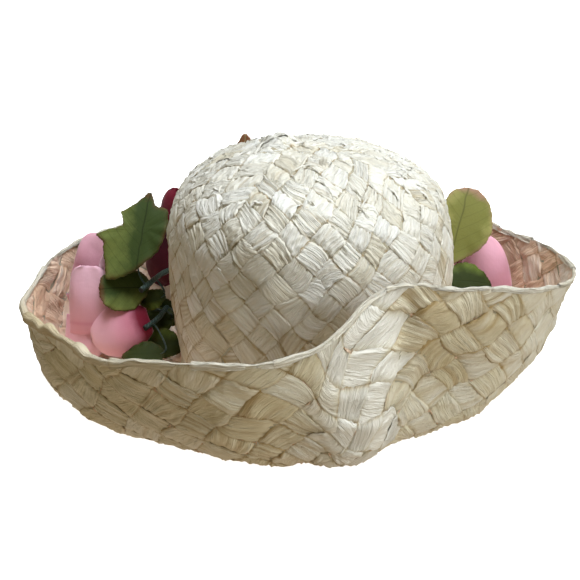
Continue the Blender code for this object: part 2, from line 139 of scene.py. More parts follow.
# small dark leaves on the wires, between the roses and the crown
SPRAY = (
    ("spray_1", SHIELD, (-99.0, 14.0, 52.0), (-0.10, -0.90, 0.35), 0.50, 2.0, (16.0, 4.0), (-20.0, -1.0), "leaf_dark"),
    ("spray_2", SHIELD, (-97.5, 24.0, 31.0), (-0.20, -0.85, 0.45), 0.70, 2.0, (16.0, 4.0), (-20.0, -1.0), "leaf_dark"),
    ("spray_3", BROAD, (-99.0, 8.0, 22.0), (-0.10, -0.80, 0.55), 0.80, 2.0, (-10.0, 0.0), (26.0, -1.0), "leaf_dark"),
    ("spray_4", LOW, (-95.0, 34.0, 40.0), (-0.30, -0.90, 0.25), 1.05, 2.0, (12.5, -7.0), (-17.7, -3.5), "leaf_dark"),
)

STEM_UPPER = (
    (-105.0, 0.0, 64.5), (-98.5, 15.0, 66.0), (-93.5, 32.0, 65.0), (-84.5, 55.0, 60.0),
    (-64.0, 79.5, 52.0), (-36.0, 98.0, 48.0), (0.0, 108.0, 46.0), (38.0, 104.0, 46.0),
    (66.0, 89.5, 47.0),
)
STEM_LOWER = (
    (-103.5, -2.0, 37.5), (-95.0, 14.0, 39.5), (-92.5, 30.0, 39.0), (-86.0, 48.0, 36.0),
    (-71.0, 70.5, 31.0), (-46.0, 90.5, 28.0), (-10.0, 103.0, 26.0), (32.0, 101.0, 26.0),
    (64.0, 86.0, 27.0), (88.0, 59.0, 30.0), (98.5, 30.0, 36.0),
)

# ---- the plait ----------------------------------------------------------------
CROWN_TOP_CELLS = 7        # cells along each side of the square at the top
CROWN_TURN = 282.0         # azimuth of the middle of its first side, in degrees
CROWN_TOP_ARC = 85.0       # from the apex to the shoulder, along the surface
CROWN_HALF_ROW = 10.5      # half the height of a cell on the wall
BRIM_CELLS = 31            # cells round the brim
BRIM_PHASE = 0.0
SWIRL_AZIMUTH = 284.0      # round the S-shaped turn the plait lies upright
SWIRL_ROW = 5.6
SWIRL_INNER, SWIRL_OUTER = 20.0, 66.0   # mm
SWIRL_ANGLE = 27.0
ROW_SHIFT = 0.0
CREASE_AZIMUTH = 291.5     # the step between the turn's own face and the right side


# ---- curves --------------------------------------------------------------------
def spline(knots, values, at, period=None):
    x = np.asarray(knots, float)
    y = np.asarray(values, float)
    at = np.asarray(at, float)
    if period is not None:
        start = x[0]
        x = np.concatenate([x[-4:] - period, x, x[:4] + period])
        y = np.concatenate([y[-4:], y, y[:4]])
        at = np.mod(at - start, period) + start
    n = len(x)
    h = np.diff(x)
    matrix = np.zeros((n, n))
    right = np.zeros(n)
    matrix[0, 0] = matrix[-1, -1] = 1.0
    for i in range(1, n - 1):
        matrix[i, i - 1] = h[i - 1]
        matrix[i, i] = 2 * (h[i - 1] + h[i])
        matrix[i, i + 1] = h[i]
        right[i] = 6 * ((y[i + 1] - y[i]) / h[i] - (y[i] - y[i - 1]) / h[i - 1])
    m = np.linalg.solve(matrix, right)
    i = np.clip(np.searchsorted(x, at) - 1, 0, n - 2)
    a = (x[i + 1] - at) / h[i]
    b = (at - x[i]) / h[i]
    bend = ((a**3 - a) * m[i] + (b**3 - b) * m[i + 1]) * h[i] ** 2 / 6
    return a * y[i] + b * y[i + 1] + bend


def column(table, k):
    return [row[k] for row in table]


def bezier(p0, p1, p2, p3, t):
    return (1 - t) ** 3 * p0 + 3 * (1 - t) ** 2 * t * p1 + 3 * (1 - t) * t**2 * p2 + t**3 * p3


def crown_point(azimuth, down):
    height, middle, width, depth = (column(CROWN_SECTIONS, k) for k in range(4))
    run = [0.0]
    for i in range(1, len(height)):
        run.append(run[-1] + math.hypot(height[i] - height[i - 1], width[i] - width[i - 1]))
    total = run[-1]
    run = run + [2 * total - r for r in run[-2:-5:-1]]
    at = total * (1.0 - np.asarray(down, float))
    z = spline(run, height + height[-2:-5:-1], at)
    cx = spline(run, middle + middle[-2:-5:-1], at)
    a = np.maximum(spline(run, width + [-w for w in width[-2:-5:-1]], at), 0.0)
    b = np.maximum(spline(run, depth + [-d for d in depth[-2:-5:-1]], at), 0.0)
    azimuth = np.asarray(azimuth, float)
    return np.stack(np.broadcast_arrays(cx + a * np.cos(azimuth), b * np.sin(azimuth), z), -1) * MM


def opening_radius(azimuth):
    _, cx, a, b = CROWN_SECTIONS[0]
    dx = AXIS_X - cx
    c, s = np.cos(azimuth), np.sin(azimuth)
    p = (c / a) ** 2 + (s / b) ** 2
    q = dx * c / a**2
    r = (dx / a) ** 2 - 1.0
    return (-q + np.sqrt(q * q - p * r)) / p


def brim_point(azimuth, out):
    azimuth, out = np.broadcast_arrays(np.asarray(azimuth, float), np.asarray(out, float))
    knots = column(BRIM_SECTIONS, 0)
    ring_r, ring_z, rim_r, rim_z, bulge, lean = (
        spline(knots, column(BRIM_SECTIONS, k), np.degrees(azimuth), 360.0) for k in range(1, 7)
    )
    ring_z = np.maximum(ring_z, 0.0) + WALL / 2
    lean = np.radians(lean)
    start_r = opening_radius(azimuth)
    start_z = SEAM_Z - SEAM_GAP
    span = ring_r - start_r
    drop = start_z - ring_z
    t = np.clip(out / INNER_SHARE, 0, 1)
    r_in = bezier(start_r, start_r + span * 0.12, ring_r - span * 0.6, ring_r, t)
    z_in = bezier(start_z, start_z - drop * 0.62, ring_z, ring_z, t)
    t = np.clip((out - INNER_SHARE) / (1 - INNER_SHARE), 0, 1)
    handle = 0.42 * (rim_z - ring_z)
    r_out = bezier(ring_r, ring_r + bulge, rim_r - handle * np.sin(lean), rim_r, t)
    z_out = bezier(ring_z, ring_z, rim_z - handle * np.cos(lean), rim_z, t)
    r = np.where(out <= INNER_SHARE, r_in, r_out)
    z = np.where(out <= INNER_SHARE, z_in, z_out)
    for waves, height, reach, phase in EDGE_WAVES:
        swing = np.sin(waves * azimuth + math.radians(phase)) * t**2
        z = z + height * swing
        r = r + reach * np.cos((waves - 2) * azimuth + math.radians(phase)) * t**2
    return np.stack([AXIS_X + r * np.cos(azimuth), r * np.sin(azimuth), z], -1) * MM


def upper_side(surface, azimuth, v, step=2e-4):
    along = surface(azimuth + step, v) - surface(azimuth - step, v)
    across = surface(azimuth, np.clip(v + step, 0, 1)) - surface(azimuth, np.clip(v - step, 0, 1))
    n = -np.cross(along, across)
    return n / np.maximum(np.linalg.norm(n, axis=-1, keepdims=True), 1e-15)


def placed(points):
    return np.asarray(points, float) - np.array([*FOOTPRINT_MIDDLE, 0.0]) * MM


def unit(v):
    v = np.asarray(v, float)
    return v / np.maximum(np.linalg.norm(v, axis=-1, keepdims=True), 1e-12)


def smooth(x):
    x = np.clip(x, 0, 1)
    return x * x * (3 - 2 * x)


def hill(x, middle, width):
    return np.exp(-(((x - middle) / width) ** 2))


def waviness(points, wavelength, seed, terms=7):
    """Smooth noise between about -1 and 1, from points in metres."""
    own = np.random.default_rng(seed)
    total = 0.0
    for _ in range(terms):
        k = unit(own.normal(size=3)) * 2 * math.pi / (wavelength * MM) * own.uniform(0.6, 1.5)
        total = total + np.sin(points @ k + own.uniform(0, 2 * math.pi))
    return total / math.sqrt(terms)


# ---- materials -----------------------------------------------------------------
def lin(r, g, b):
    """A colour given as 8-bit sRGB, as the shader takes it."""
    return tuple(((c / 255) / 12.92 if c / 255 <= 0.04045 else ((c / 255 + 0.055) / 1.055) ** 2.4) for c in (r, g, b)) + (1.0,)


class Tree:
    def __init__(self, name, roughness):
        self.mat = bpy.data.materials.new(name)
        self.mat.use_nodes = True
        self.nodes = self.mat.node_tree.nodes
        self.links = self.mat.node_tree.links
        self.shader = self.nodes["Principled BSDF"]
        self.shader.inputs["Roughness"].default_value = roughness

    def node(self, kind, **settings):
        made = self.nodes.new(kind)
        for key, value in settings.items():
            setattr(made, key, value)
        return made

    def link(self, a, b):
        self.links.new(a, b)

    def math(self, operation, a, b=None, clamp=False):
        made = self.node("ShaderNodeMath", operation=operation, use_clamp=clamp)
        for socket, value in zip(made.inputs, (a, b)):
            if value is None:
                continue
            if isinstance(value, (int, float)):
                socket.default_value = value
            else:
                self.link(value, socket)
        return made.outputs[0]

    def mix(self, factor, a, b, blend="MIX"):
        made = self.node("ShaderNodeMix", data_type="RGBA", blend_type=blend)
        sockets = [s for s in made.inputs if s.enabled]
        for socket, value in zip(sockets, (factor, a, b)):
            if isinstance(value, (int, float, tuple)):
                socket.default_value = value
            else:
                self.link(value, socket)
        return [s for s in made.outputs if s.enabled][0]

    def ramp(self, value, *stops):
        made = self.node("ShaderNodeValToRGB")
        elements = made.color_ramp.elements
        while len(elements) < len(stops):
            elements.new(0.5)
        for element, (place, colour) in zip(elements, stops):
            element.position = place
            element.color = colour if isinstance(colour, tuple) else (colour, colour, colour, 1.0)
        self.link(value, made.inputs[0])
        return made.outputs[0]

    def attribute(self, name):
        made = self.node("ShaderNodeAttribute", attribute_name=name)
        parts = self.node("ShaderNodeSeparateColor")
        self.link(made.outputs["Color"], parts.inputs[0])
        return parts.outputs[0], parts.outputs[1], parts.outputs[2]

    def noise(self, vector, scale, detail=2.0, rough=0.5, distortion=0.0):
        made = self.node("ShaderNodeTexNoise")
        made.inputs["Scale"].default_value = scale
        made.inputs["Detail"].default_value = detail
        made.inputs["Roughness"].default_value = rough
        made.inputs["Distortion"].default_value = distortion
        self.link(vector, made.inputs["Vector"])
        return made.outputs["Fac"]

    def stretched(self, vector, *scale):
        made = self.node("ShaderNodeMapping")
        made.inputs["Scale"].default_value = scale
        self.link(vector, made.inputs["Vector"])
        return made.outputs[0]

    def uv(self, name):
        return self.node("ShaderNodeUVMap", uv_map=name).outputs[0]

    def place(self):
        return self.node("ShaderNodeTexCoord").outputs["Object"]

    def bump(self, height, strength, distance, before=None):
        made = self.node("ShaderNodeBump")
        made.inputs["Strength"].default_value = strength
        made.inputs["Distance"].default_value = distance
        self.link(height, made.inputs["Height"])
        if before is not None:
            self.link(before, made.inputs["Normal"])
        return made.outputs[0]


def straw_material(name, pale, warm, shade_ochre, gloss, fibre=0.75):
    """Plaited raffia. The map "fibre" is in millimetres along and across the strip, and "tone" holds the strip's own
    tone with painted shade added, painted shade where it lies under its neighbours or in a fold, and bleach with
    painted highlights."""
    t = Tree(name, gloss)
    along = t.uv("fibre")
    shade, buried_shade, bleach_and_highlight = t.attribute("tone")
    coarse = t.noise(t.stretched(along, 0.06, 0.75, 1.0), 1.0, 3.0, 0.62, 0.5)
    fine = t.noise(t.stretched(along, 0.07, 2.2, 1.0), 1.0, 3.0, 0.65, 0.1)
    cloud = t.noise(t.place(), 38.0, 3.0, 0.6)
    base = t.mix(t.math("MULTIPLY", shade, 1.0, clamp=True), pale, warm)
    streak = t.ramp(coarse, (0.36, 1.0), (0.58, 0.0))
    base = t.mix(t.math("MULTIPLY", streak, 0.45), base, warm)
    base = t.mix(t.math("MULTIPLY", t.ramp(cloud, (0.42, 0.0), (0.72, 1.0)), 0.35), base, warm)
    # the mix towards ochre is painted shade where the strip lies under its neighbours and in its folds
    under = t.math("MULTIPLY", t.math("ADD", buried_shade, t.math("MULTIPLY", fine, 0.25)), 1.0, clamp=True)
    base = t.mix(t.math("MULTIPLY", t.ramp(under, (0.30, 0.0), (0.95, 1.0)), 0.85), base, shade_ochre)
    base = t.mix(t.math("MULTIPLY", bleach_and_highlight, 0.75, clamp=True), base, lin(246, 245, 238))
    t.link(base, t.shader.inputs["Base Color"])
    rough = t.math("ADD", t.math("MULTIPLY", coarse, 0.22), gloss - 0.11)
    t.link(rough, t.shader.inputs["Roughness"])
    t.shader.inputs["Specular IOR Level"].default_value = 0.42
    first = t.bump(coarse, fibre, 0.0022)
    second = t.bump(fine, fibre, 0.0010, first)
    t.link(second, t.shader.inputs["Normal"])
    return t.mat


def core_material():
    t = Tree("straw_core", 0.75)
    cloud = t.noise(t.place(), 160.0, 4.0, 0.6)
    # painted shade: the core is darker than the strips, for the gaps where it shows between them
    base = t.mix(t.ramp(cloud, (0.35, 0.0), (0.7, 1.0)), lin(188, 182, 160), lin(152, 142, 116))
    t.link(base, t.shader.inputs["Base Color"])
    t.link(t.bump(cloud, 0.5, 0.0008), t.shader.inputs["Normal"])
    return t.mat


def petal_material(name, base, body, tip, shade, weave=0.25):
    """Stiffened fabric. "petal" holds the place from the foot of the petal to its tip, painted shade at a crease and on
    one side, and a shade.
    """
    t = Tree(name, 0.72)
    up, crease, own = t.attribute("petal")
    cloud = t.noise(t.place(), 55.0, 3.0, 0.55)
    up = t.math("ADD", up, t.math("MULTIPLY", t.math("SUBTRACT", cloud, 0.5), 0.22))
    colour = t.ramp(up, (0.07, base), (0.25, shade), (0.46, body), (0.92, tip))
    colour = t.mix(t.math("MULTIPLY", own, 0.55, clamp=True), colour, shade)
    colour = t.mix(t.math("MULTIPLY", crease, 0.6, clamp=True), colour, shade)
    grid = t.node("ShaderNodeTexWave", wave_type="BANDS", bands_direction="X")
    grid.inputs["Scale"].default_value = 0.16
    t.link(t.uv("weave"), grid.inputs["Vector"])
    other = t.node("ShaderNodeTexWave", wave_type="BANDS", bands_direction="Y")
    other.inputs["Scale"].default_value = 0.16
    t.link(t.uv("weave"), other.inputs["Vector"])
    cloth = t.math("MULTIPLY", grid.outputs["Fac"], other.outputs["Fac"])
    # the threads show as a fine pale grid
    colour = t.mix(t.math("MULTIPLY", t.math("MULTIPLY", t.math("SUBTRACT", 1.0, cloth), 0.16), t.math("MULTIPLY", up, 1.5, clamp=True)), colour, tip)
    t.link(colour, t.shader.inputs["Base Color"])
    fuzz = t.noise(t.place(), 900.0, 3.0, 0.6)
    height = t.math("ADD", t.math("MULTIPLY", cloth, 0.35), t.math("MULTIPLY", fuzz, 0.5))
    t.link(t.bump(height, weave, 0.0003, t.bump(cloud, 0.35, 0.003)), t.shader.inputs["Normal"])
    t.link(t.math("ADD", t.math("MULTIPLY", fuzz, 0.2), 0.62), t.shader.inputs["Roughness"])
    t.shader.inputs["Sheen Weight"].default_value = 0.35
    t.shader.inputs["Sheen Roughness"].default_value = 0.4
    t.shader.inputs["Specular IOR Level"].default_value = 0.3
    return t.mat


def leaf_material(name, light, dark, vein, tip, tip_share):
    """Printed fabric leaf. The map "leaf" runs across the midrib (x) and along it (y), in half lengths."""
    t = Tree(name, 0.55)
    flat = t.uv("leaf")
    parts = t.node("ShaderNodeSeparateXYZ")
    t.link(flat, parts.inputs[0])
    x, y = parts.outputs[0], parts.outputs[1]
    wander = t.math("MULTIPLY", t.math("SUBTRACT", t.noise(t.place(), 70.0, 2.0), 0.5), 0.10)
    side = t.math("ABSOLUTE", t.math("ADD", x, wander))
    rib = t.math("SUBTRACT", 1.0, t.math("MULTIPLY", side, 32.0), clamp=True)
    run = t.math("ADD", t.math("SUBTRACT", y, t.math("MULTIPLY", side, 0.72)), t.math("MULTIPLY", t.math("MULTIPLY", side, side), -0.25))
    wave = t.math("ABSOLUTE", t.math("SUBTRACT", t.math("FRACT", t.math("MULTIPLY", run, 3.4)), 0.5))
    branch = t.math("MULTIPLY", t.math("SUBTRACT", 1.0, t.math("MULTIPLY", wave, 12.0), clamp=True), 0.4)
    small = t.node("ShaderNodeTexVoronoi", feature="DISTANCE_TO_EDGE")
    small.inputs["Scale"].default_value = 520.0
    t.link(t.place(), small.inputs["Vector"])
    net = t.math("MULTIPLY", t.math("SUBTRACT", 1.0, t.math("MULTIPLY", small.outputs["Distance"], 14.0), clamp=True), 0.22)
    lines = t.math("MAXIMUM", t.math("MAXIMUM", rib, branch), net)
    cloud = t.noise(t.place(), 75.0, 4.0, 0.6)
    shade, edge, back = t.attribute("petal")
    colour = t.mix(t.ramp(t.math("ADD", t.math("MULTIPLY", cloud, 0.6), t.math("MULTIPLY", shade, 0.5)), (0.32, 0.0), (0.66, 1.0)), light, dark)
    colour = t.mix(t.math("MULTIPLY", edge, t.ramp(cloud, (0.35, 0.25), (0.62, 1.0))), colour, tip)
    far = t.math("ADD", y, t.math("MULTIPLY", t.math("SUBTRACT", cloud, 0.5), 0.8))
    colour = t.mix(t.ramp(far, (tip_share, 0.0), (min(tip_share + 0.25, 1.0), 1.0)), colour, tip)
    colour = t.mix(t.math("MULTIPLY", lines, 0.75), colour, vein)
    colour = t.mix(t.math("MULTIPLY", back, 0.45), colour, lin(150, 158, 112))
    t.link(colour, t.shader.inputs["Base Color"])
    weave = t.noise(t.place(), 1500.0, 2.0)
    height = t.math("SUBTRACT", t.math("MULTIPLY", weave, 0.25), lines)
    t.link(t.bump(height, 0.25, 0.0005), t.shader.inputs["Normal"])
    t.link(t.math("ADD", t.math("MULTIPLY", cloud, 0.25), 0.52), t.shader.inputs["Roughness"])
    t.shader.inputs["Specular IOR Level"].default_value = 0.16
    return t.mat


def wire_material():
    t = Tree("wire", 0.5)
    flat = t.uv("fibre")
    wave = t.node("ShaderNodeTexWave", wave_type="BANDS", bands_direction="DIAGONAL")
    wave.inputs["Scale"].default_value = 0.22
    wave.inputs["Distortion"].default_value = 1.5
    t.link(flat, wave.inputs["Vector"])
    shade, end, _ = t.attribute("petal")
    grain = t.noise(t.place(), 400.0, 3.0)
    colour = t.mix(t.math("MULTIPLY", wave.outputs["Fac"], t.math("ADD", grain, 0.3), clamp=True), lin(24, 40, 36), lin(58, 84, 74))
    colour = t.mix(end, colour, lin(18, 16, 14))
    t.link(colour, t.shader.inputs["Base Color"])
    height = t.math("ADD", wave.outputs["Fac"], t.math("MULTIPLY", grain, 0.4))
    t.link(t.bump(height, 0.6, 0.0003), t.shader.inputs["Normal"])
    t.link(t.math("ADD", t.math("MULTIPLY", grain, 0.3), 0.35), t.shader.inputs["Roughness"])
    return t.mat


# ---- meshes --------------------------------------------------------------------
def mesh_object(name, verts, faces, mat, uvs=(), colours=(), in_tables=True):
    """verts in metres. uvs are (name, one pair per vertex), colours (name, one RGB per vertex)."""
    verts = placed(verts) if in_tables else np.asarray(verts, float)
    faces = [tuple(f) for f in (faces.tolist() if isinstance(faces, np.ndarray) else faces)]
    mesh = bpy.data.meshes.new(name)
    mesh.from_pydata(verts.tolist(), [], faces)
    corners = np.empty(len(mesh.loops), np.int64)
    mesh.loops.foreach_get("vertex_index", corners)
    for label, values in uvs:
        layer = mesh.uv_layers.new(name=label)
        layer.data.foreach_set("uv", np.asarray(values, np.float32)[corners].ravel())
    for label, values in colours:
        made = mesh.color_attributes.new(name=label, type="FLOAT_COLOR", domain="POINT")
        four = np.ones((len(verts), 4), np.float32)
        four[:, :3] = values
        made.data.foreach_set("color", four.ravel())
    mesh.shade_smooth()
    mesh.materials.append(mat)
    obj = bpy.data.objects.new(name, mesh)
    bpy.context.scene.collection.objects.link(obj)
    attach(obj, "root")
    return obj


def grid_faces(rows, columns, start=0, flip=False, closed=False):
    """Quads of a grid of rows x columns vertices, numbered row by row from start."""
    i = np.arange(rows - 1)[:, None]
    j = np.arange(columns if closed else columns - 1)[None]
    after = (j + 1) % columns
    a, b = i * columns + j, i * columns + after
    c, d = (i + 1) * columns + after, (i + 1) * columns + j
    quads = np.stack([a, b, c, d] if not flip else [a, d, c, b], -1).reshape(-1, 4)
    return quads + start


# ---- woven cells ----------------------------------------------------------------
def ridges(points, wavelength, seed):
    """Sharp crests between smooth hollows, from 0 to 1."""
    return (1 - np.minimum(np.abs(waviness(points, wavelength, seed)), 1.0)) ** 2


def weave(name, cells, locate, side, mat, *, rise, pleat, lift, crumple, seed, steps=(8, 26), overlap=0.08, tuck=3.6,
          jitter=0.03, width=(0.97, 1.08), ridged=0.4, edge=0.22, bleach_and_painted_light=None, which=None, crinkle=0.0, painted_shade=None):
    """The strips that show on one side of a plait, a patch for each cell.

    cells: rows of (u, v, chart). locate(u, v, chart, h) gives the points at height h (mm) on the shown side,
    and which of them are cut off. A cell with v even shows the strip that rises to the right, seen from
    side 1. which picks the strips of one direction."""
    own = np.random.default_rng(seed)
    direct = np.round(cells[:, 1]) % 2 == 0
    if side < 0:
        direct = ~direct
    if which is not None:
        cells, direct = cells[direct == which], direct[direct == which]
    n = len(cells)
    u0, v0, chart = cells[:, 0], cells[:, 1], cells[:, 2]
    long_steps, cross_steps = steps
    s = np.linspace(-1, 1, long_steps + 1)
    s = np.sign(s) * (0.5 * np.abs(s) ** 0.72) * (1 + overlap)
    t = np.linspace(-1, 1, cross_steps + 1)
    t = 0.5 * (0.45 * t + 0.55 * np.sin(t * np.pi / 2))
    S, T = (a[None] for a in np.meshgrid(s, t, indexing="ij"))

    def each(low, high):
        return own.uniform(low, high, n).reshape(n, 1, 1)

    def of_cells(value):
        value = value(u0, v0, chart, direct) if callable(value) else np.full(n, float(value))
        return np.asarray(value, float)[:, None, None]

    wide = each(*width)
    turn = each(-0.10, 0.10)
    shift = each(-jitter, jitter)
    bow = each(-0.06, 0.06)
    ragged = each(0, 2 * math.pi)
    across = T * wide * (1 - 0.06 * (2 * S) ** 2) + shift + turn * S + bow * (S * S * 4 - 0.4)
    # the sides aren't cut straight
    notch = 0.020 * np.sin(8 * S + ragged) + 0.012 * np.sin(19 * S + 2 * ragged) + each(0, 0.03) * np.exp(-(((S - each(-0.4, 0.4)) / 0.06) ** 2))
    across = across - notch * np.sign(T) * smooth((np.abs(T) - 0.36) / 0.14)
    rising = direct[:, None, None]
    u = u0[:, None, None] + np.where(rising, S + across, S - across)
    v = v0[:, None, None] + np.where(rising, -S + across, S + across)

    st = np.abs(2 * S)
    tt = np.abs(2 * T)
    shape = np.maximum(1 - st ** tuck, -0.25)
    flat = np.clip(shape, 0, 1)
    high = of_cells(rise)
    h = 0.34 + high * shape * each(0.82, 1.15) + 0 * u
    # its sides are turned under: they stand a little proud and then drop onto the strip below
    h = h + edge * each(0.1, 1.4) * np.exp(-(((tt - 0.80) / 0.09) ** 2)) * flat
    h = h - high * 0.92 * np.clip((tt - 0.86) / 0.14, 0, 1) ** 1.7 * flat
    h = h + each(-0.30, 0.30) * T * 2 * flat
    # the strip is gathered where it goes under, so its folds fan out and run a little askew
    fan = each(-0.55, 0.55)
    skew = each(-0.30, 0.30)
    lane = T * (1 + fan * S) + skew * S
    room = (0.45 + 0.55 * st ** 2) * np.clip((1.06 - st) / 0.10, 0, 1) * np.clip((1.0 - tt) / 0.14, 0, 1)
    strength = own.gamma(2.2, 0.42, n).clip(0.25, 2.0)[:, None, None]
    folds = 0.0
    for k in range(8):
        centre = each(-0.55, 0.55)
        thin = each(0.030, 0.070)
        deep = each(0.35, 1.0) * np.where(each(0, 1) > 0.25, 1, 0) * np.where(each(0, 1) > 0.35, 1, -0.8)
        reach = np.clip(1.35 - np.abs(2 * S - each(-1, 1)) * each(0.0, 1.2), 0, 1)
        folds = folds - deep * reach * np.exp(-(((lane - centre) / thin) ** 2))
    soft = 0.0
    for k in range(3):
        soft = soft + each(0.2, 0.5) * np.sin(lane * each(10, 34) + each(0, 6.28))
    # some strips are gathered into even pleats
    count = each(3.0, 6.0)
    gathered = np.where(each(0, 1) < ridged, each(0.7, 1.5), 0.15)
    even = 0.45 - np.abs(np.cos(np.pi * count * lane + each(0, 3.14))) ** 1.4 * 1.1
    h = h + of_cells(pleat) * room * (strength * (folds * 0.9 + soft * 0.6) + gathered * even)
    # now and then a corner or an edge stands up
    raised = np.where(each(0, 1) < 0.45, each(0.3, 1.0), 0.0)
    corner = np.clip(T * 2 * np.sign(each(-1, 1)) * 0.8 + S * 2 * np.sign(each(-1, 1)) * 0.35 - 0.25, 0, 1) * flat
    h = h + of_cells(lift) * raised * corner

    chart_all = np.broadcast_to(chart[:, None, None], u.shape)
    points, cut = locate(u, v, chart_all, h * 0)
    rough = of_cells(crumple)
    creased = ridges(points, 17.0, seed // 10 + 7) * 0.6 + ridges(points, 9.0, seed // 10 + 8) * 0.5 - 0.4
    h = h + rough * (waviness(points, 14.0, seed // 10 + 5) * 0.45 + waviness(points, 6.5, seed + 6) * 0.25 + creased)
    sharp = ridges(points, 7.5, seed + 9) * 0.6 + ridges(points, 4.6, seed + 10) * 0.5 - 0.45
    h = h + of_cells(crinkle) * (sharp + 0.35 * waviness(points, 4.0, seed + 11)) * np.clip((1.04 - tt) / 0.2, 0.2, 1)
    h = np.where(st < 0.93, np.maximum(h, 0.22 + 0.1 * np.tanh(h)), h)
    points, cut = locate(u, v, chart_all, h)

    per = (long_steps + 1) * (cross_steps + 1)
    one = grid_faces(long_steps + 1, cross_steps + 1, flip=side < 0)
    faces = (one[None] + (np.arange(n) * per)[:, None, None]).reshape(-1, 4)
    flat_cut = cut.reshape(-1)
    faces = faces[~flat_cut[faces].all(1)]
    verts = points.reshape(-1, 3)
    # a patch that lies wholly past the edge goes, with its points
    used = np.zeros(len(verts), bool)
    used[faces.ravel()] = True
    number = np.cumsum(used) - 1

    size = 16.0
    fibre = np.stack(
        [
            (np.broadcast_to(S, u.shape) * size + own.uniform(0, 900, n)[:, None, None]),
            (np.broadcast_to(lane, u.shape) * size + own.uniform(0, 900, n)[:, None, None]),
        ],
        -1,
    ).reshape(-1, 2)
    wide_count = int(math.ceil(math.sqrt(n)))
    tile = np.arange(n)
    tx, ty = (tile % wide_count)[:, None, None], (tile // wide_count)[:, None, None]
    su = (S - S.min()) / (S.max() - S.min())
    tu = T + 0.5
    bake = np.stack(
        [
            (tx + 0.04 + 0.92 * np.broadcast_to(su, u.shape)) / wide_count,
            (ty + 0.04 + 0.92 * np.broadcast_to(tu, u.shape)) / wide_count,
        ],
        -1,
    ).reshape(-1, 2)
    # painted shade, given per cell: the strip darker and warmer, with ochre along its lower side
    extra_shade = of_cells(painted_shade) if painted_shade else 0.0
    shade = np.clip(own.normal(0.35, 0.25, n), 0, 1)[:, None, None] + 0 * u + extra_shade
    # painted shade: ochre where the strip's ends and sides go under its neighbours, and in the valleys of its folds
    buried_shade = np.clip((st - 0.84) / 0.14, 0, 1) ** 2 * each(0.2, 1.0) + np.clip((tt - 0.93) / 0.06, 0, 1) * each(0.1, 0.6) + 0 * u
    low = np.clip(-folds, 0, 1) * 0.42 * np.clip(strength, 0, 1) + np.clip(-even, 0, 1) * 0.42 * np.clip(gathered, 0, 1)
    lower_side = np.where(rising, T, T) * (1 if side < 0 else -1)
    buried_shade = np.clip(buried_shade + low + extra_shade * (0.31 + 0.75 * np.clip((lower_side * 2 - 0.62) / 0.38, 0, 1) * flat), 0, 1)
    bleach_and_highlight = np.clip(own.normal(0.25, 0.30, n), 0, 1)[:, None, None] * flat
    # painted highlights: a light line along each raised side edge and on the crests of the folds
    bleach_and_highlight = bleach_and_highlight + 0.5 * np.exp(-(((tt - 0.80) / 0.07) ** 2)) * flat * each(0, 1) + np.clip(folds + 0.2, 0, 1) * 0.5
    bleach_and_highlight = np.clip(bleach_and_highlight * (1 - buried_shade) + (of_cells(bleach_and_painted_light) * flat if bleach_and_painted_light else 0.0), 0, 1)
    tone = np.stack([shade, buried_shade, bleach_and_highlight + 0 * u], -1).reshape(-1, 3)
    obj = mesh_object(
        name,
        verts[used],
        number[faces],
        mat,
        uvs=[("fibre", fibre[used]), ("OFBake", bake[used])],
        colours=[("tone", tone[used])],
    )
    return obj


# the crown: a square of cells at the top, and four sides that run down from it
CROWN_ROUND = 2 * 4 * CROWN_TOP_CELLS
CROWN_RUN = sum(
    math.hypot(CROWN_SECTIONS[i][0] - CROWN_SECTIONS[i - 1][0], CROWN_SECTIONS[i][2] - CROWN_SECTIONS[i - 1][2])
    for i in range(1, len(CROWN_SECTIONS))
)


def crown_cells():
    n = CROWN_TOP_CELLS
    rows = []
    last = n + int(math.ceil((CROWN_RUN - CROWN_TOP_ARC) / CROWN_HALF_ROW)) + 1
    for k in range(4):
        for v in range(1, n + 1):
            for u in range(-v + 1, v):
                if (u + v) % 2 == 1:
                    rows.append((u, v, k))
        for v in range(n + 1, last):
            for u in range(-n, n):
                if (u + v) % 2 == 1:
                    rows.append((u, v, k))
    return np.array(rows, float)


def crown_lattice(u, v, k):
    n = float(CROWN_TOP_CELLS)
    u = u + 0.10 * np.sin(0.9 * v + 1.3 * k) * np.clip(v / 6, 0, 1)
    quarter = math.pi / 4
    inside = v <= n
    other = np.abs(u) > v
    m = np.where(other, np.abs(u), v)
    share = np.where(other, v, u) / np.maximum(m, 1e-6)
    angle = np.where(other, np.sign(u) * (2 * quarter - quarter * share), quarter * share)
    on_top = m <= n
    arc = np.where(on_top, CROWN_TOP_ARC * m / n, CROWN_TOP_ARC + (m - n) * CROWN_HALF_ROW)
    wall_angle = np.where(other & inside, np.sign(u) * (2 * quarter - quarter * np.clip(v / n, 0, 1)), quarter * u / n)
    angle = np.where(on_top, angle, wall_angle)
    azimuth = angle + math.radians(CROWN_TURN) + k * 2 * quarter
    away = smooth(arc / 30.0)
    azimuth = azimuth + away * (0.014 * np.sin(7 * azimuth + 0.055 * arc) + 0.010 * np.sin(13 * azimuth - 0.08 * arc + 2.0) + 0.008 * np.sin(19 * azimuth + 0.11 * arc))
    arc = arc + away * (0.9 * np.sin(9 * azimuth + 0.07 * arc + 1.0) + 0.8 * np.sin(16 * azimuth + 3.0))
    return azimuth, arc / CROWN_RUN


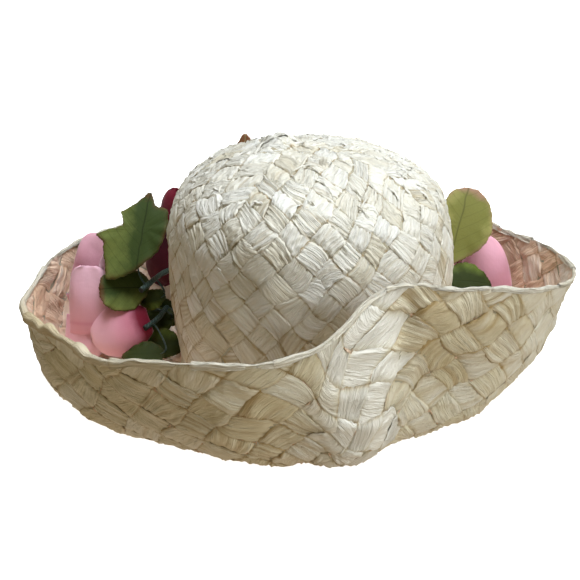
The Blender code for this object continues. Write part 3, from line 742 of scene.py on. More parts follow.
def crown_bumps(points):
    """The crown isn't a perfect dome: mm in or out."""
    x, y = points[..., 0] / MM, points[..., 1] / MM
    # a raised lump near the top, steep at its right, and a small knot in front of it
    lump = 5.6 * smooth((16 - np.hypot(x + 12, (y + 2) * 0.7)) / 12) * smooth((2 - x) / 7)
    lump = lump * (0.85 + 0.2 * np.sin(0.6 * x + 0.35 * y)) * (points[..., 2] > 0.12)
    knot = 1.7 * hill(np.hypot(x - 17, y + 38), 0.0, 3.4) * (points[..., 2] > 0.12)
    return 0.9 * waviness(points, 60.0, 3) + 0.5 * waviness(points, 24.0, 4) + lump + knot


def locate_crown(side):
    def locate(u, v, k, h):
        azimuth, down = crown_lattice(u, v, k)
        cut = down >= 1.0
        down = np.clip(down, 0.004, 1.0)
        middle = crown_point(azimuth, down)
        n = upper_side(crown_point, azimuth, np.clip(down, 0.002, 0.999))
        keep = smooth((1.0 - down) / 0.12)[..., None]
        return middle + n * ((h * side)[..., None] + crown_bumps(middle)[..., None] * keep) * MM, cut

    return locate


# the brim
def brim_tables():
    azimuth = np.radians(np.arange(0, 361, 2.0))
    inner = np.linspace(0, INNER_SHARE, 41)
    outer = np.linspace(INNER_SHARE, 1, 161)
    inner_points = brim_point(azimuth[:, None], inner[None])
    outer_points = brim_point(azimuth[:, None], outer[None])
    inner_run = np.linalg.norm(np.diff(inner_points, axis=1), axis=-1) / MM
    outer_run = np.linalg.norm(np.diff(outer_points, axis=1), axis=-1) / MM
    inner_run = np.concatenate([np.zeros((len(azimuth), 1)), np.cumsum(inner_run, 1)], 1)
    outer_run = np.concatenate([np.zeros((len(azimuth), 1)), np.cumsum(outer_run, 1)], 1)
    even = np.linspace(0, 1, 101)
    inner_out = np.stack([np.interp(even, (run[-1] - run)[::-1] / run[-1], inner[::-1]) for run in inner_run])
    outer_out = np.stack([np.interp(even, run / run[-1], outer) for run in outer_run])
    return inner_run[:, -1], outer_run[:, -1], inner_out, outer_out


INNER_RUN, OUTER_RUN, INNER_OUT, OUTER_OUT = brim_tables()


def lookup(table, azimuth, share=None):
    x = np.mod(azimuth, 2 * np.pi) / math.radians(2.0)
    i = np.clip(x.astype(int), 0, len(table) - 2)
    f = x - i
    if share is None:
        return table[i] * (1 - f) + table[i + 1] * f
    y = np.clip(share, 0, 1) * 100
    j = np.clip(y.astype(int), 0, 99)
    g = y - j
    return (table[i, j] * (1 - f) + table[i + 1, j] * f) * (1 - g) + (table[i, j + 1] * (1 - f) + table[i + 1, j + 1] * f) * g


def around(azimuth, middle, width):
    gap = np.mod(np.degrees(azimuth) - middle + 180, 360) - 180
    return np.exp(-((gap / width) ** 2))


def brim_half_row(azimuth):
    return 12.6 - 0.2 * around(azimuth, 232.0, 38.0)


def swirl(x, y):
    """Turns the plait round the S-shaped turn of the edge. x, y in mm from its middle."""
    d = np.hypot(x, y)
    a = math.radians(SWIRL_ANGLE) * smooth((SWIRL_OUTER - d) / (SWIRL_OUTER - SWIRL_INNER)) * (1 - 0.85 * smooth((x + 2) / 40))
    return x * np.cos(a) - y * np.sin(a), x * np.sin(a) + y * np.cos(a)


# how the rows wander round the brim: azimuth, rows up, slant of the columns, azimuth the column really has
BRIM_WANDER = (
    (0.0, -2.3, 0.0, 2.0),
    (60.0, -2.2, 0.0, 61.0),
    (120.0, -2.0, 0.0, 120.5),
    (180.0, -1.7, -0.05, 182.0),
    (205.0, -1.5, -0.16, 209.5),
    (222.0, -1.25, -0.22, 227.9),
    (240.0, -0.7, -0.22, 246.1),
    (256.0, -0.15, -0.2, 262.7),
    (268.0, 0.1, -0.1, 272.0),
    (284.0, 0.2, 0.0, 282.5),
    (298.0, 0.0, 0.0, 298.0),
    (312.0, -0.95, 0.0, 313.5),
    (328.0, -1.75, 0.0, 331.5),
    (344.0, -2.15, 0.0, 347.3),
)


def wander(azimuth, k):
    knots = column(BRIM_WANDER, 0)
    return spline(knots, [row[k] - (row[0] if k == 3 else 0.0) for row in BRIM_WANDER], azimuth, 360.0)


HALF_ROUND = 15.2   # mm, a half step round the brim at its middle
SWIRL_U = (SWIRL_AZIMUTH - BRIM_PHASE) / 360.0 * 2 * BRIM_CELLS


def brim_lattice(u, v):
    """Azimuth and out, from the number of half cells round (u) and up from the lowest ring (v)."""
    gap = np.mod(u - SWIRL_U + BRIM_CELLS, 2 * BRIM_CELLS) - BRIM_CELLS
    x, y = swirl(gap * HALF_ROUND, (v - SWIRL_ROW) * 12.6)
    gap, v = x / HALF_ROUND, y / 12.6 + SWIRL_ROW
    step = 180.0 / BRIM_CELLS
    before = SWIRL_AZIMUTH + gap * step
    before = before + wander(before, 2) * (v - 5.0) * step
    v = v + wander(before, 1) + ROW_SHIFT
    azimuth = np.radians(before + wander(before, 3))
    # no row is quite even
    azimuth = azimuth + 0.010 * np.sin(13 * azimuth + 0.7 * v) + 0.008 * np.sin(22 * azimuth - 1.3 * v + 2.0)
    v = v + 0.10 * np.sin(17 * azimuth + 1.0 + 0.8 * v) + 0.07 * np.sin(29 * azimuth + 2.0)
    rise = v * brim_half_row(azimuth)
    outer = rise / lookup(OUTER_RUN, azimuth)
    inner = -v * 9.6 / lookup(INNER_RUN, azimuth)
    out = np.where(v >= 0, lookup(OUTER_OUT, azimuth, outer), lookup(INNER_OUT, azimuth, inner))
    cut = np.where(v >= 0, outer >= 1.0, inner >= 1.0)
    return azimuth, out, cut


def brim_cells():
    rows = []
    for v in range(-8, 17):
        for u in range(2 * BRIM_CELLS):
            if (u + v) % 2 == 0:
                rows.append((u, v, 0))
    cells = np.array(rows, float)
    azimuth, out, cut = brim_lattice(cells[:, 0], cells[:, 1])
    ok = np.zeros(len(cells), bool)
    for du, dv in ((0, 0), (1, 0), (-1, 0), (0, 1), (0, -1), (0.5, 0.5), (-0.5, 0.5), (0.5, -0.5), (-0.5, -0.5)):
        ok |= ~brim_lattice(cells[:, 0] + du, cells[:, 1] + dv)[2]
    return cells[ok]


def brim_bumps(points, out):
    """mm towards the trough."""
    azimuth = np.degrees(np.arctan2(points[..., 1], points[..., 0] - AXIS_X * MM)) % 360
    crease = CREASE_AZIMUTH + 5.0 * (out - 0.8) + 1.2 * np.sin(9 * out)
    outward = (
        5.0 * hill(azimuth, 279.0, 9.0) * hill(out, 0.48, 0.17)
        - 2.4 * hill(azimuth, 281.0, 8.0) * hill(out, 0.84, 0.11)
        - 3.2 * hill(azimuth, 308.0, 13.0) * hill(out, 0.62, 0.18)
        + 1.6 * hill(azimuth, 310.0, 13.0) * hill(out, 0.92, 0.08)
        - 2.6 * hill(azimuth, crease, 1.7) * smooth((out - 0.48) / 0.2)
        + 1.4 * hill(azimuth, crease + 4.0, 2.2) * smooth((out - 0.48) / 0.2)
    ) * smooth((1 - out) / 0.07)
    uneven = 0.8 * waviness(points, 55.0, 8) + 0.55 * waviness(points, 22.0, 9)
    return uneven * smooth(out / 0.2) * smooth((1 - out) / 0.15) - outward


def locate_brim(side):
    """side 1 is the trough's side, -1 the side below."""
    def locate(u, v, k, h):
        azimuth, out, cut = brim_lattice(u, v)
        out = np.clip(out, 0.0, 1.0)
        middle = brim_point(azimuth, out)
        n = upper_side(brim_point, azimuth, np.clip(out, 0.001, 0.999))
        low = np.clip(middle[..., 2] / MM / 6.0, 0, 1)   # nothing reaches under the table
        push = h * side
        push = np.where(n[..., 2] * side < 0, push * (0.35 + 0.65 * low), push)
        points = middle + n * (push + brim_bumps(middle, out) * low)[..., None] * MM
        points[..., 2] = np.maximum(points[..., 2], 0.0002)
        return points, cut

    return locate


def closed_shell(name, surface, azimuth, shares, half, mat, replaced, bumps=None, pole=False):
    """A thin closed wall on a surface of revolution-like shape, which the strips lie on."""
    verts, faces, rings = [], [], []
    count = len(azimuth)
    total = 0
    ends = []
    for side in (1, -1):
        before = None
        for share in shares:
            v = np.full_like(azimuth, share)
            middle = surface(azimuth, v)
            n = upper_side(surface, azimuth, np.clip(v, 0.001, 0.999))
            bump = bumps(middle, v) if bumps else 0 * v
            points = middle + n * (side * half + bump)[:, None] * MM
            verts.append(points)
            ring = np.arange(total, total + count)
            total += count
            if before is None:
                ends.append(ring)
            else:
                a, b = before, np.roll(before, -1)
                c, d = np.roll(ring, -1), ring
                quads = np.stack([a, b, c, d] if side > 0 else [a, d, c, b], -1)
                faces.extend(quads.tolist())
            before = ring
        ends.append(before)
    a, b = ends[1], np.roll(ends[1], -1)
    c, d = np.roll(ends[3], -1), ends[3]
    faces.extend(np.stack([a, b, c, d], -1).tolist())
    if pole:
        faces.append(tuple(ends[0].tolist()[::-1]))
        faces.append(tuple(ends[2].tolist()))
    else:
        a, b = ends[0], np.roll(ends[0], -1)
        c, d = np.roll(ends[2], -1), ends[2]
        faces.extend(np.stack([a, d, c, b], -1).tolist())
    obj = mesh_object(name, np.concatenate(verts), [tuple(f) for f in faces], mat)
    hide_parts(replaced)
    return obj


# ---- what isn't part of the object -------------------------------------------------
def studio():
    scene = bpy.context.scene
    scene.view_settings.view_transform = "Standard"
    scene.view_settings.look = "None"
    world = bpy.data.worlds.new("studio")
    scene.world = world
    world.use_nodes = True
    tree = world.node_tree
    background = tree.nodes["Background"]
    background.inputs["Strength"].default_value = 1.0
    where = tree.nodes.new("ShaderNodeTexCoord")
    parts = tree.nodes.new("ShaderNodeSeparateXYZ")
    ramp = tree.nodes.new("ShaderNodeValToRGB")
    height = tree.nodes.new("ShaderNodeMapRange")
    height.inputs["From Min"].default_value = -1.0
    tree.links.new(where.outputs["Generated"], parts.inputs[0])
    tree.links.new(parts.outputs[2], height.inputs["Value"])
    tree.links.new(height.outputs[0], ramp.inputs[0])
    tree.links.new(ramp.outputs[0], background.inputs["Color"])
    below, level, above = (0.70, 0.56, 0.43), (0.160, 0.133, 0.062), (0.15, 0.135, 0.09)
    elements = ramp.color_ramp.elements
    elements.new(0.5)
    for element, place, colour in zip(elements, (0.0, 0.5, 1.0), (below, level, above)):
        element.position = place
        element.color = (*colour, 1.0)

    from mathutils import Vector

    # one soft light overhead, and a weaker one low at the right
    for name, direction, colour, energy, angle in (
        ("key", (0.12, -0.05, 0.99), (0.90, 0.955, 1.03), 3.55, 32),
        ("side", (0.84, -0.44, 0.32), (0.92, 0.97, 1.0), 1.80, 26),
    ):
        sun = bpy.data.lights.new(name, "SUN")
        sun.energy = energy
        sun.angle = math.radians(angle)
        sun.color = colour
        lamp = bpy.data.objects.new(name, sun)
        lamp.rotation_euler = Vector(unit(direction)).to_track_quat("Z", "Y").to_euler()
        scene.collection.objects.link(lamp)

    size = 8.0
    mesh = bpy.data.meshes.new("floor")
    around_it = [(-size, -size), (size, -size), (size, size), (-size, size)]
    mesh.from_pydata(
        [(x, y, z) for z in (0.0, size) for x, y in around_it], [],
        [(0, 1, 2, 3)] + [(k + 4, (k + 1) % 4 + 4, (k + 1) % 4, k) for k in range(4)],
    )
    t = Tree("floor", 0.9)
    cloud = t.noise(t.place(), 6.0, 2.0)
    t.link(t.mix(t.math("MULTIPLY", cloud, 0.2), (0.93, 0.93, 0.92, 1.0), (0.90, 0.90, 0.90, 1.0)), t.shader.inputs["Base Color"])
    t.shader.inputs["Specular IOR Level"].default_value = 0.1
    t.shader.inputs["Emission Color"].default_value = (1.0, 1.0, 1.0, 1.0)
    t.shader.inputs["Emission Strength"].default_value = 0.95
    mesh.materials.append(t.mat)
    floor = bpy.data.objects.new("floor", mesh)
    scene.collection.objects.link(floor)
    floor.visible_diffuse = floor.visible_glossy = floor.visible_shadow = False

    camera = bpy.data.cameras.new("camera")
    camera.sensor_width = 36.0
    camera.lens = 74.23
    camera.shift_x = -7 / 580
    camera.shift_y = -21.5 / 580
    camera.clip_start, camera.clip_end = 0.01, 50
    eye = bpy.data.objects.new("camera", camera)
    eye.location = (-0.00076, -0.75776, 0.35362)
    eye.rotation_euler = (math.radians(70), 0, 0)
    scene.collection.objects.link(eye)
    scene.camera = eye


# ---- the hat ------------------------------------------------------------------------
def make_hat():
    # the crown's straw is given whiter and cooler than the brim's, painted light of the lit crown; the trough's straw
    # is peach, painted warm light reflected in the trough
    crown_straw = straw_material("straw_crown", lin(243, 242, 234), lin(221, 211, 182), lin(166, 140, 90), 0.40)
    brim_straw = straw_material("straw_brim", lin(237, 233, 214), lin(221, 210, 176), lin(168, 138, 84), 0.44)
    inside_straw = straw_material("straw_inside", lin(249, 220, 193), lin(236, 198, 164), lin(184, 144, 102), 0.5)
    core = core_material()

    # walls that the strips are plaited over
    azimuth = np.linspace(0, 2 * np.pi, 120, endpoint=False)
    closed_shell(
        "crown_core", crown_point, azimuth, np.linspace(0.012, 1.0, 34), 0.14, core, "crown",
        bumps=lambda p, v: crown_bumps(p) * smooth((1.0 - v) / 0.12), pole=True,
    )
    azimuth = np.linspace(0, 2 * np.pi, 220, endpoint=False)
    closed_shell(
        "brim_core", brim_point, azimuth, np.linspace(0.0, 1.0, 44), 0.14, core, "brim",
        bumps=lambda p, v: brim_bumps(p, v) * np.clip(p[:, 2] / MM / 6.0, 0, 1),
    )

    cells = crown_cells()

    def upper(u, v, k, start=0.66, reach=0.28):
        azimuth, down = crown_lattice(u, v, k)
        return smooth((start - down) / reach)

    for label, which in (("a", True), ("b", False)):
        weave(
            "crown_strips_" + label, cells, locate_crown(1), 1, crown_straw, which=which,
            rise=lambda u, v, k, d: 0.34 + 0.55 * upper(u, v, k),
            pleat=lambda u, v, k, d: 0.09 + np.where(d, 0.36, 0.72) * upper(u, v, k),
            edge=0.17,
            lift=lambda u, v, k, d: 0.15 + 1.0 * upper(u, v, k),
            crumple=lambda u, v, k, d: 0.12 + 0.40 * upper(u, v, k),
            crinkle=lambda u, v, k, d: 0.08 + 0.80 * upper(u, v, k),
            # painted shade: the lower wall darker and yellower, the top a little lighter
            painted_shade=lambda u, v, k, d: 0.62 - 0.76 * upper(u, v, k, 0.84, 0.34),
            seed=31 if which else 32, steps=(12, 26), ridged=0.35 if which else 0.75,
            jitter=0.04, width=(1.0, 1.10),
        )
    weave(
        "crown_strips_inner", cells, locate_crown(-1), -1, crown_straw,
        rise=0.85, pleat=0.15, lift=0.2, crumple=0.10, seed=37, steps=(6, 12), bleach_and_painted_light=lambda u, v, k, d: 0.5 + 0 * u,
    )

    cells = brim_cells()

    def at(u, v):
        azimuth, out, cut = brim_lattice(u, v)
        return np.degrees(azimuth) % 360, out

    def right_side(u, v):
        azimuth, out = at(u, v)
        return smooth((azimuth - 290) / 6) * smooth((338 - azimuth) / 14)

    def rough(u, v, k, d):
        azimuth, out = at(u, v)
        return 0.22 + 0.50 * smooth((0.62 - out) / 0.2) + 0.2 * hill(azimuth, 240.0, 30.0)

    # painted light on the turn's face left of the crease; painted shade on the right side and just before the turn
    def brim_light_and_shade(u, v, k, d):
        azimuth, out = at(u, v)
        bright = 0.95 * smooth((azimuth - 268) / 9) * smooth((CREASE_AZIMUTH + 1 - azimuth) / 3)
        return bright - 0.08 * right_side(u, v) - 0.38 * hill(azimuth, 256.0, 11.0)

    # painted shade: the brim's outer face darker and warmer right of the crease, on its front left and left, and just
    # before the turn
    def brim_painted_shade(u, v, k, d):
        azimuth, out = at(u, v)
        right = 0.78 * right_side(u, v) * smooth((out - 0.5) / 0.22) * np.where(d, 0.8, 1.0)
        return right + (0.30 * hill(azimuth, 243.0, 26.0) + 0.14 * hill(azimuth, 205.0, 20.0) + 0.34 * hill(azimuth, 259.0, 11.0)) * np.where(d, 0.6, 1.0)

    def rose_reflection_and_bleach(u, v, k, d):
        # painted pink reflection of the roses in the trough beside them; elsewhere the trough is bleached paler
        azimuth, out = at(u, v)
        return 0.55 - 0.95 * np.maximum(hill(azimuth, 172.0, 30.0), hill((azimuth + 180) % 360, 212.0, 36.0))

    for label, which in (("a", True), ("b", False)):
        weave(
            "brim_strips_" + label, cells, locate_brim(-1), -1, brim_straw, which=which,
            rise=lambda u, v, k, d: 0.62 + np.where(d, 0.65, -0.10) * right_side(u, v),
            pleat=lambda u, v, k, d: 0.28 + np.where(d, 0.02, -0.10) * right_side(u, v),
            lift=0.6, crumple=rough, crinkle=lambda u, v, k, d: 0.36 + 0.4 * smooth((0.62 - at(u, v)[1]) / 0.2) + 0.22 * right_side(u, v), bleach_and_painted_light=brim_light_and_shade, edge=0.22, painted_shade=brim_painted_shade,
            seed=41 if which else 42, steps=(11, 26), ridged=0.3, width=(1.04, 1.13),
        )
    weave(
        "brim_strips_above", cells, locate_brim(1), 1, inside_straw,
        rise=0.6, pleat=0.26, lift=0.7, crumple=0.8, crinkle=0.5, seed=43, steps=(8, 18), width=(1.0, 1.1), ridged=0.4,
        bleach_and_painted_light=rose_reflection_and_bleach,
    )
    print("cells", len(crown_cells()), len(cells))


def make_strands():
    """Bits of strip that stand loose on the crown: a tuft over the lump, a small tab, and frayed ends."""
    own = np.random.default_rng(61)
    mat = straw_material("straw_loose", lin(244, 243, 236), lin(228, 221, 200), lin(164, 136, 86), 0.4)
    locate = locate_crown(1)
    verts, faces, fibres, bakes, tones = [], [], [], [], []
    total = 0
    rows = []   # x, y of the middle, heading, length, width, height, sag at the ends
    for k in range(11):
        rows.append((-13 + own.uniform(-9, 9), -2 + own.uniform(-8, 8), own.uniform(-0.5, 0.9), own.uniform(11, 19), own.uniform(1.8, 3.4), own.uniform(0.5, 1.3)))
    rows.append((16.0, -38.0, 1.45, 7.5, 4.6, 3.6))
    rows.append((19.5, -37.0, 1.2, 6.5, 3.0, 1.6))
    for k in range(95):
        angle, reach = own.uniform(0, 2 * math.pi), 82 * math.sqrt(own.uniform(0.01, 1))
        rows.append((9 + reach * math.cos(angle), reach * math.sin(angle) * 1.05, own.choice((0.75, -0.75)) + own.uniform(-0.4, 0.4), own.uniform(5, 13), own.uniform(0.5, 1.7), own.uniform(0.4, 1.2)))
    for i, (x, y, heading, long, wide, high) in enumerate(rows):
        n_a, n_c = 13, 5
        along = np.linspace(-1, 1, n_a)
        across = np.linspace(-1, 1, n_c)
        bend = own.uniform(-0.25, 0.25)
        gx = x + (along * long / 2)[:, None] * math.cos(heading) - (across * wide / 2)[None] * math.sin(heading) - (bend * long * along**2 / 2)[:, None] * math.sin(heading)
        gy = y + (along * long / 2)[:, None] * math.sin(heading) + (across * wide / 2)[None] * math.cos(heading) + (bend * long * along**2 / 2)[:, None] * math.cos(heading)
        # the place on the crown that lies under (x, y)
        azimuth = np.arctan2(gy / 1.08, gx - 5.0)
        shares = np.linspace(0.004, 0.62, 90)
        ring = crown_point(azimuth.ravel()[:, None], shares[None])
        gap = np.hypot(ring[..., 0] - gx.ravel()[:, None] * MM, ring[..., 1] - gy.ravel()[:, None] * MM)
        down = shares[np.argmin(gap, 1)].reshape(azimuth.shape)
        middle = crown_point(azimuth, down)
        n = upper_side(crown_point, azimuth, np.clip(down, 0.002, 0.99))
        flat = np.stack([gx * MM, gy * MM, middle[..., 2]], -1)
        # slide along the slope so that the height fits the place exactly
        flat[..., 2] = middle[..., 2] - ((flat - middle)[..., :2] * n[..., :2]).sum(-1) / np.maximum(n[..., 2], 0.25)
        wave = 1 - along**2 * own.uniform(0.6, 1.3)
        h = 1.3 + crown_bumps(middle) + (high * wave)[:, None] + 0.25 * np.sin(along * own.uniform(4, 9) + i)[:, None] - 0.35 * (across**2)[None]
        h = h + 0.3 * np.sin(2.4 * across[None] + 3 * along[:, None] + i)
        verts.append((flat + n * h[..., None] * MM).reshape(-1, 3))
        faces.append(grid_faces(n_a, n_c, total, flip=True))
        total += n_a * n_c
        fx, fy = np.meshgrid(along * long / 2 + own.uniform(0, 900), across * wide / 2 + own.uniform(0, 900), indexing="ij")
        fibres.append(np.stack([fx, fy], -1).reshape(-1, 2))
        side = int(math.ceil(math.sqrt(len(rows))))
        bx, by = np.meshgrid((i % side + 0.5 + 0.45 * along) / side, (i // side + 0.5 + 0.45 * across) / side, indexing="ij")
        bakes.append(np.stack([bx, by], -1).reshape(-1, 2))
        # painted shade: the ends of each strand darker
        low = np.clip(np.abs(along) * 3 - 2.2, 0, 1)[:, None] * 0.5 + 0 * across[None]
        tones.append(np.stack([np.full_like(low, own.uniform(0, 0.7)), low, np.full_like(low, own.uniform(0, 0.8))], -1).reshape(-1, 3))
    mesh_object(
        "crown_strands", np.concatenate(verts), np.concatenate(faces), mat,
        uvs=[("fibre", np.concatenate(fibres)), ("OFBake", np.concatenate(bakes))],
        colours=[("tone", np.concatenate(tones))],
    )


def make_edge():
    """The free edge, turned back over itself in long overlapping lengths of strip."""
    own = np.random.default_rng(51)
    mat = straw_material("straw_edge", lin(236, 229, 208), lin(218, 203, 170), lin(160, 130, 78), 0.46)
    starts = []
    at = 0.0
    while at < 360.0:
        step = own.uniform(8.0, 26.0)
        starts.append(at)
        at += step
    starts = np.array(starts) * 360.0 / at
    verts, faces, fibres, bakes, tones = [], [], [], [], []
    total = 0
    count = len(starts)
    for i, first in enumerate(starts):
        length = (starts[(i + 1) % count] - first) % 360.0
        over = own.uniform(1.6, 3.2)
        n_a, n_c = 26, 19
        a = np.radians(np.linspace(first - over, first + length + over * 0.3, n_a))
        share = np.linspace(0, 1, n_a)
        turn = np.linspace(-1, 1, n_c)
        tip = brim_point(a, np.ones_like(a))
        across = upper_side(brim_point, a, np.full_like(a, 0.999))
        onward = unit(tip - brim_point(a, np.full_like(a, 0.985)))
        # the start of each length lies on the one before, and its end slips under the next
        loose = 0.85 * (1 - smooth(share / 0.9)) + 0.12
        legs = own.uniform(0.8, 3.4, 2)
        radius = (0.80 + 0.62 * loose) * (1 + 0.20 * np.sin(share * own.uniform(6, 16) + own.uniform(0, 6)))
        rolled = around(a, 202.0, 24.0)
        radius = radius * (1 + 1.4 * rolled)
        rag = own.uniform(-0.6, 0.6, 2)
        grid = np.empty((n_a, n_c, 3))
        for j, x in enumerate(turn):
            # a hairpin: two straight legs and a half circle
            leg = max(0.0, (abs(x) - 0.5) / 0.5)
            bend = np.clip(x / 0.5, -1, 1) * math.pi / 2
            down = leg * (legs[0] if x < 0 else legs[1]) * (1 + 0.25 * np.sin(share * 9 + rag[0] * 5) * (leg > 0.9))
            ridge = 0.24 * math.sin(j * 2.1 + i) + 0.18 * np.sin(share * 14 + j * 1.3 + i)
            r = radius + ridge * 0.7 + 0.15 * leg
            grid[:, j] = tip + (
                across * (np.sin(bend) * r)[:, None]
                + onward * (np.cos(bend) * r - down)[:, None]
                + onward * (0.30 * np.sin(share * 5 + i) + 0.30 * np.sin(share * 23 + 2 * i))[:, None] * (1 - leg)
                + (onward + 0.6 * across) * (rolled * (0.9 * np.sin(14 * a * 3 + 1.0) + 0.6 * np.sin(67 * a)))[:, None] * (1 - leg)
            ) * MM
        verts.append(grid.reshape(-1, 3))
        faces.append(grid_faces(n_a, n_c, total))
        total += n_a * n_c
        long = np.linalg.norm(np.diff(tip, axis=0), axis=1).sum() / MM
        fx, fy = np.meshgrid(share * long + own.uniform(0, 900), turn * 7.0 + own.uniform(0, 900), indexing="ij")
        fibres.append(np.stack([fx, fy], -1).reshape(-1, 2))
        wide = int(math.ceil(math.sqrt(count)))
        bx, by = np.meshgrid((i % wide + 0.04 + 0.92 * share) / wide, (i // wide + 0.04 + 0.46 * (turn + 1)) / wide, indexing="ij")
        bakes.append(np.stack([bx, by], -1).reshape(-1, 2))
        # painted shade: darker where each length starts over the one before and along the turn's sides, and the rolled
        # edge at the left darker and less bleached
        shade = own.uniform(0.0, 0.6)
        buried_shade = np.clip(1 - share[:, None] / 0.05, 0, 1) * 0.4 + np.clip((np.abs(turn)[None] - 0.93) / 0.07, 0, 1) * 0.5
        tones.append(np.stack([shade + 0.8 * rolled[:, None] + 0 * buried_shade, buried_shade + 0.35 * rolled[:, None], own.uniform(0.1, 0.7) * (1 - 0.9 * rolled)[:, None] + 0 * buried_shade], -1).reshape(-1, 3))
    mesh_object(
        "brim_edge", np.concatenate(verts), np.concatenate(faces), mat,
        uvs=[("fibre", np.concatenate(fibres)), ("OFBake", np.concatenate(bakes))],
        colours=[("tone", np.concatenate(tones))],
    )

    # where crown and brim are sewn together: a flat strip that follows the head opening
    a = np.linspace(0, 2 * np.pi, 240, endpoint=False)
    c = np.linspace(0, 2 * np.pi, 14, endpoint=False)
    opening = crown_point(a, np.ones_like(a))
    outward = unit(opening * np.array([1, 1, 0]) - np.array([8.0, 0, 0]) * MM)
    grid = np.empty((len(a), len(c), 3))
    for j, x in enumerate(c):
        swell = 1 + 0.10 * np.sin(60 * a + 2 * x)
        grid[:, j] = opening + (outward * (1.75 * np.cos(x) * swell)[:, None] + np.array([0, 0, 1]) * (2.6 * np.sin(x) * swell)[:, None]) * MM
    quads = []
    for i in range(len(a)):
        for j in range(len(c)):
            i2, j2 = (i + 1) % len(a), (j + 1) % len(c)
            quads.append((i * len(c) + j, i2 * len(c) + j, i2 * len(c) + j2, i * len(c) + j2))
    fx, fy = np.meshgrid(np.linspace(0, 560, len(a)), np.linspace(0, 14, len(c)), indexing="ij")
    tone = np.zeros((len(a), len(c), 3))
    tone[..., 0] = 0.5
    tone[..., 1] = 0.15 * (1 + np.sin(60 * a))[:, None]
    mesh_object(
        "seam_strip", grid.reshape(-1, 3), quads, mat,
        uvs=[("fibre", np.stack([fx, fy], -1).reshape(-1, 2))], colours=[("tone", tone.reshape(-1, 3))],
    )


# ---- the garland ----------------------------------------------------------------------
def frame_of(direction):
    look = unit(direction)
    side = np.cross((0, 0, 1), look)
    side = unit(side) if np.linalg.norm(side) > 1e-6 else np.array([1.0, 0, 0])
    return side, np.cross(look, side), look


def shell(points, thickness):
    """A closed sheet on a grid of points (rows, columns, 3) in mm. Gives verts and faces."""
    rows, columns = points.shape[:2]
    du = np.gradient(points, axis=1)
    dv = np.gradient(points, axis=0)
    n = unit(np.cross(du, dv))
    front = points + n * thickness / 2
    back = points - n * thickness / 2
    verts = np.concatenate([front.reshape(-1, 3), back.reshape(-1, 3)])
    size = rows * columns
    faces = [grid_faces(rows, columns), grid_faces(rows, columns, size, flip=True)]
    loop = (
        [(0, j) for j in range(columns - 1)]
        + [(i, columns - 1) for i in range(rows - 1)]
        + [(rows - 1, j) for j in range(columns - 1, 0, -1)]
        + [(i, 0) for i in range(rows - 1, 0, -1)]
    )
    ring = np.array([i * columns + j for i, j in loop])
    after = np.roll(ring, -1)
    faces.append(np.stack([ring, ring + size, after + size, after], -1))
    return verts, np.concatenate(faces)


class Bunch:
    """Collects the petals of one rose."""

    def __init__(self):
        self.verts, self.faces, self.weave, self.petal, self.total = [], [], [], [], 0

    def add(self, points, up, across, crease, shade, thickness=0.9, rise=None):
        verts, faces = shell(points, thickness)
        self.verts.append(verts)
        self.faces.append(faces + self.total)
        self.total += len(verts)
        extent = np.stack([across * 40, (up if rise is None else rise) * 40], -1).reshape(-1, 2)
        self.weave.append(np.concatenate([extent, extent]))
        data = np.stack([up, crease, np.full_like(up, shade)], -1).reshape(-1, 3)
        self.petal.append(np.concatenate([data, data]))

    def build(self, name, mat):
        obj = mesh_object(
            name, np.concatenate(self.verts) * MM, np.concatenate(self.faces), mat,
            uvs=[("weave", np.concatenate(self.weave))], colours=[("petal", np.concatenate(self.petal))],
        )
        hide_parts(name)
        return obj


def petal_outline(b, foot=0.3, widest=0.62):
    """Half width from the foot (b = 0) to the tip (b = 1)."""
    low = foot + (1 - foot) * np.sin(np.clip(b / widest, 0, 1) * np.pi / 2) ** 0.8
    high = np.sqrt(np.clip(1 - ((b - widest) / (1 - widest)) ** 2, 0, 1))
    return np.where(b < widest, low, np.maximum(high, 0.12))


def puff(bunch, own, centre, face, up, half_width, half_length, bulge, shade=0.0, curl=0.25, foot=0.35, crease=0.0, back=0.6, widest=0.62, shaded_side=0.0, pale=0.0, limp=0.35, square=1.0):
    """A full petal, bulging towards face, with its foot at -up and its tip at +up."""
    face = unit(face)
    up = unit(np.asarray(up, float) - np.dot(up, face) * face)
    right = np.cross(up, face)
    b = np.linspace(0, 1, 25)[:, None]
    a = np.linspace(-1, 1, 25)[None]
    w = petal_outline(b, foot, widest) ** np.where(b < widest, 1.0, square)
    x = half_width * w * np.sin(a * np.pi / 2 * 1.05)
    y = half_length * (2 * b - 1) + 0 * a
    dome = np.cos(a * np.pi / 2 * 0.98) ** 0.8
    z = bulge * dome * np.sin(np.pi * (0.10 + 0.86 * b)) ** 0.7
    z = z - back * bulge * (np.abs(a) ** 3) * np.sin(np.pi * b)
    z = z + curl * 2.0 * smooth((b - 0.86) / 0.14) * np.cos(3 * a + own.uniform(0, 6))
    z = z + limp * np.sin(5 * a + own.uniform(0, 6)) * np.sin(4 * b + own.uniform(0, 6))
    z = z + (limp - 0.35) * (np.abs(np.sin(4.1 * b + 1.7 * a + own.uniform(0, 6))) - 0.6) * np.sin(np.pi * b)
    points = np.asarray(centre, float) + x[..., None] * right + y[..., None] * up + z[..., None] * face
    # painted shade: a dark line across the petal at the crease, and one side darker
    folded = np.exp(-(((b - 0.5 - crease) / 0.03) ** 2)) * (1 if crease else 0) + 0 * a
    folded = np.maximum(folded, abs(shaded_side) * smooth((a * np.sign(shaded_side) - 0.35) / 0.6)) if shaded_side else folded
    bunch.add(points, pale + (1 - pale) * b + 0 * a, a * w * half_width / 18, folded, shade, rise=b * half_length / 9 + 0 * a)


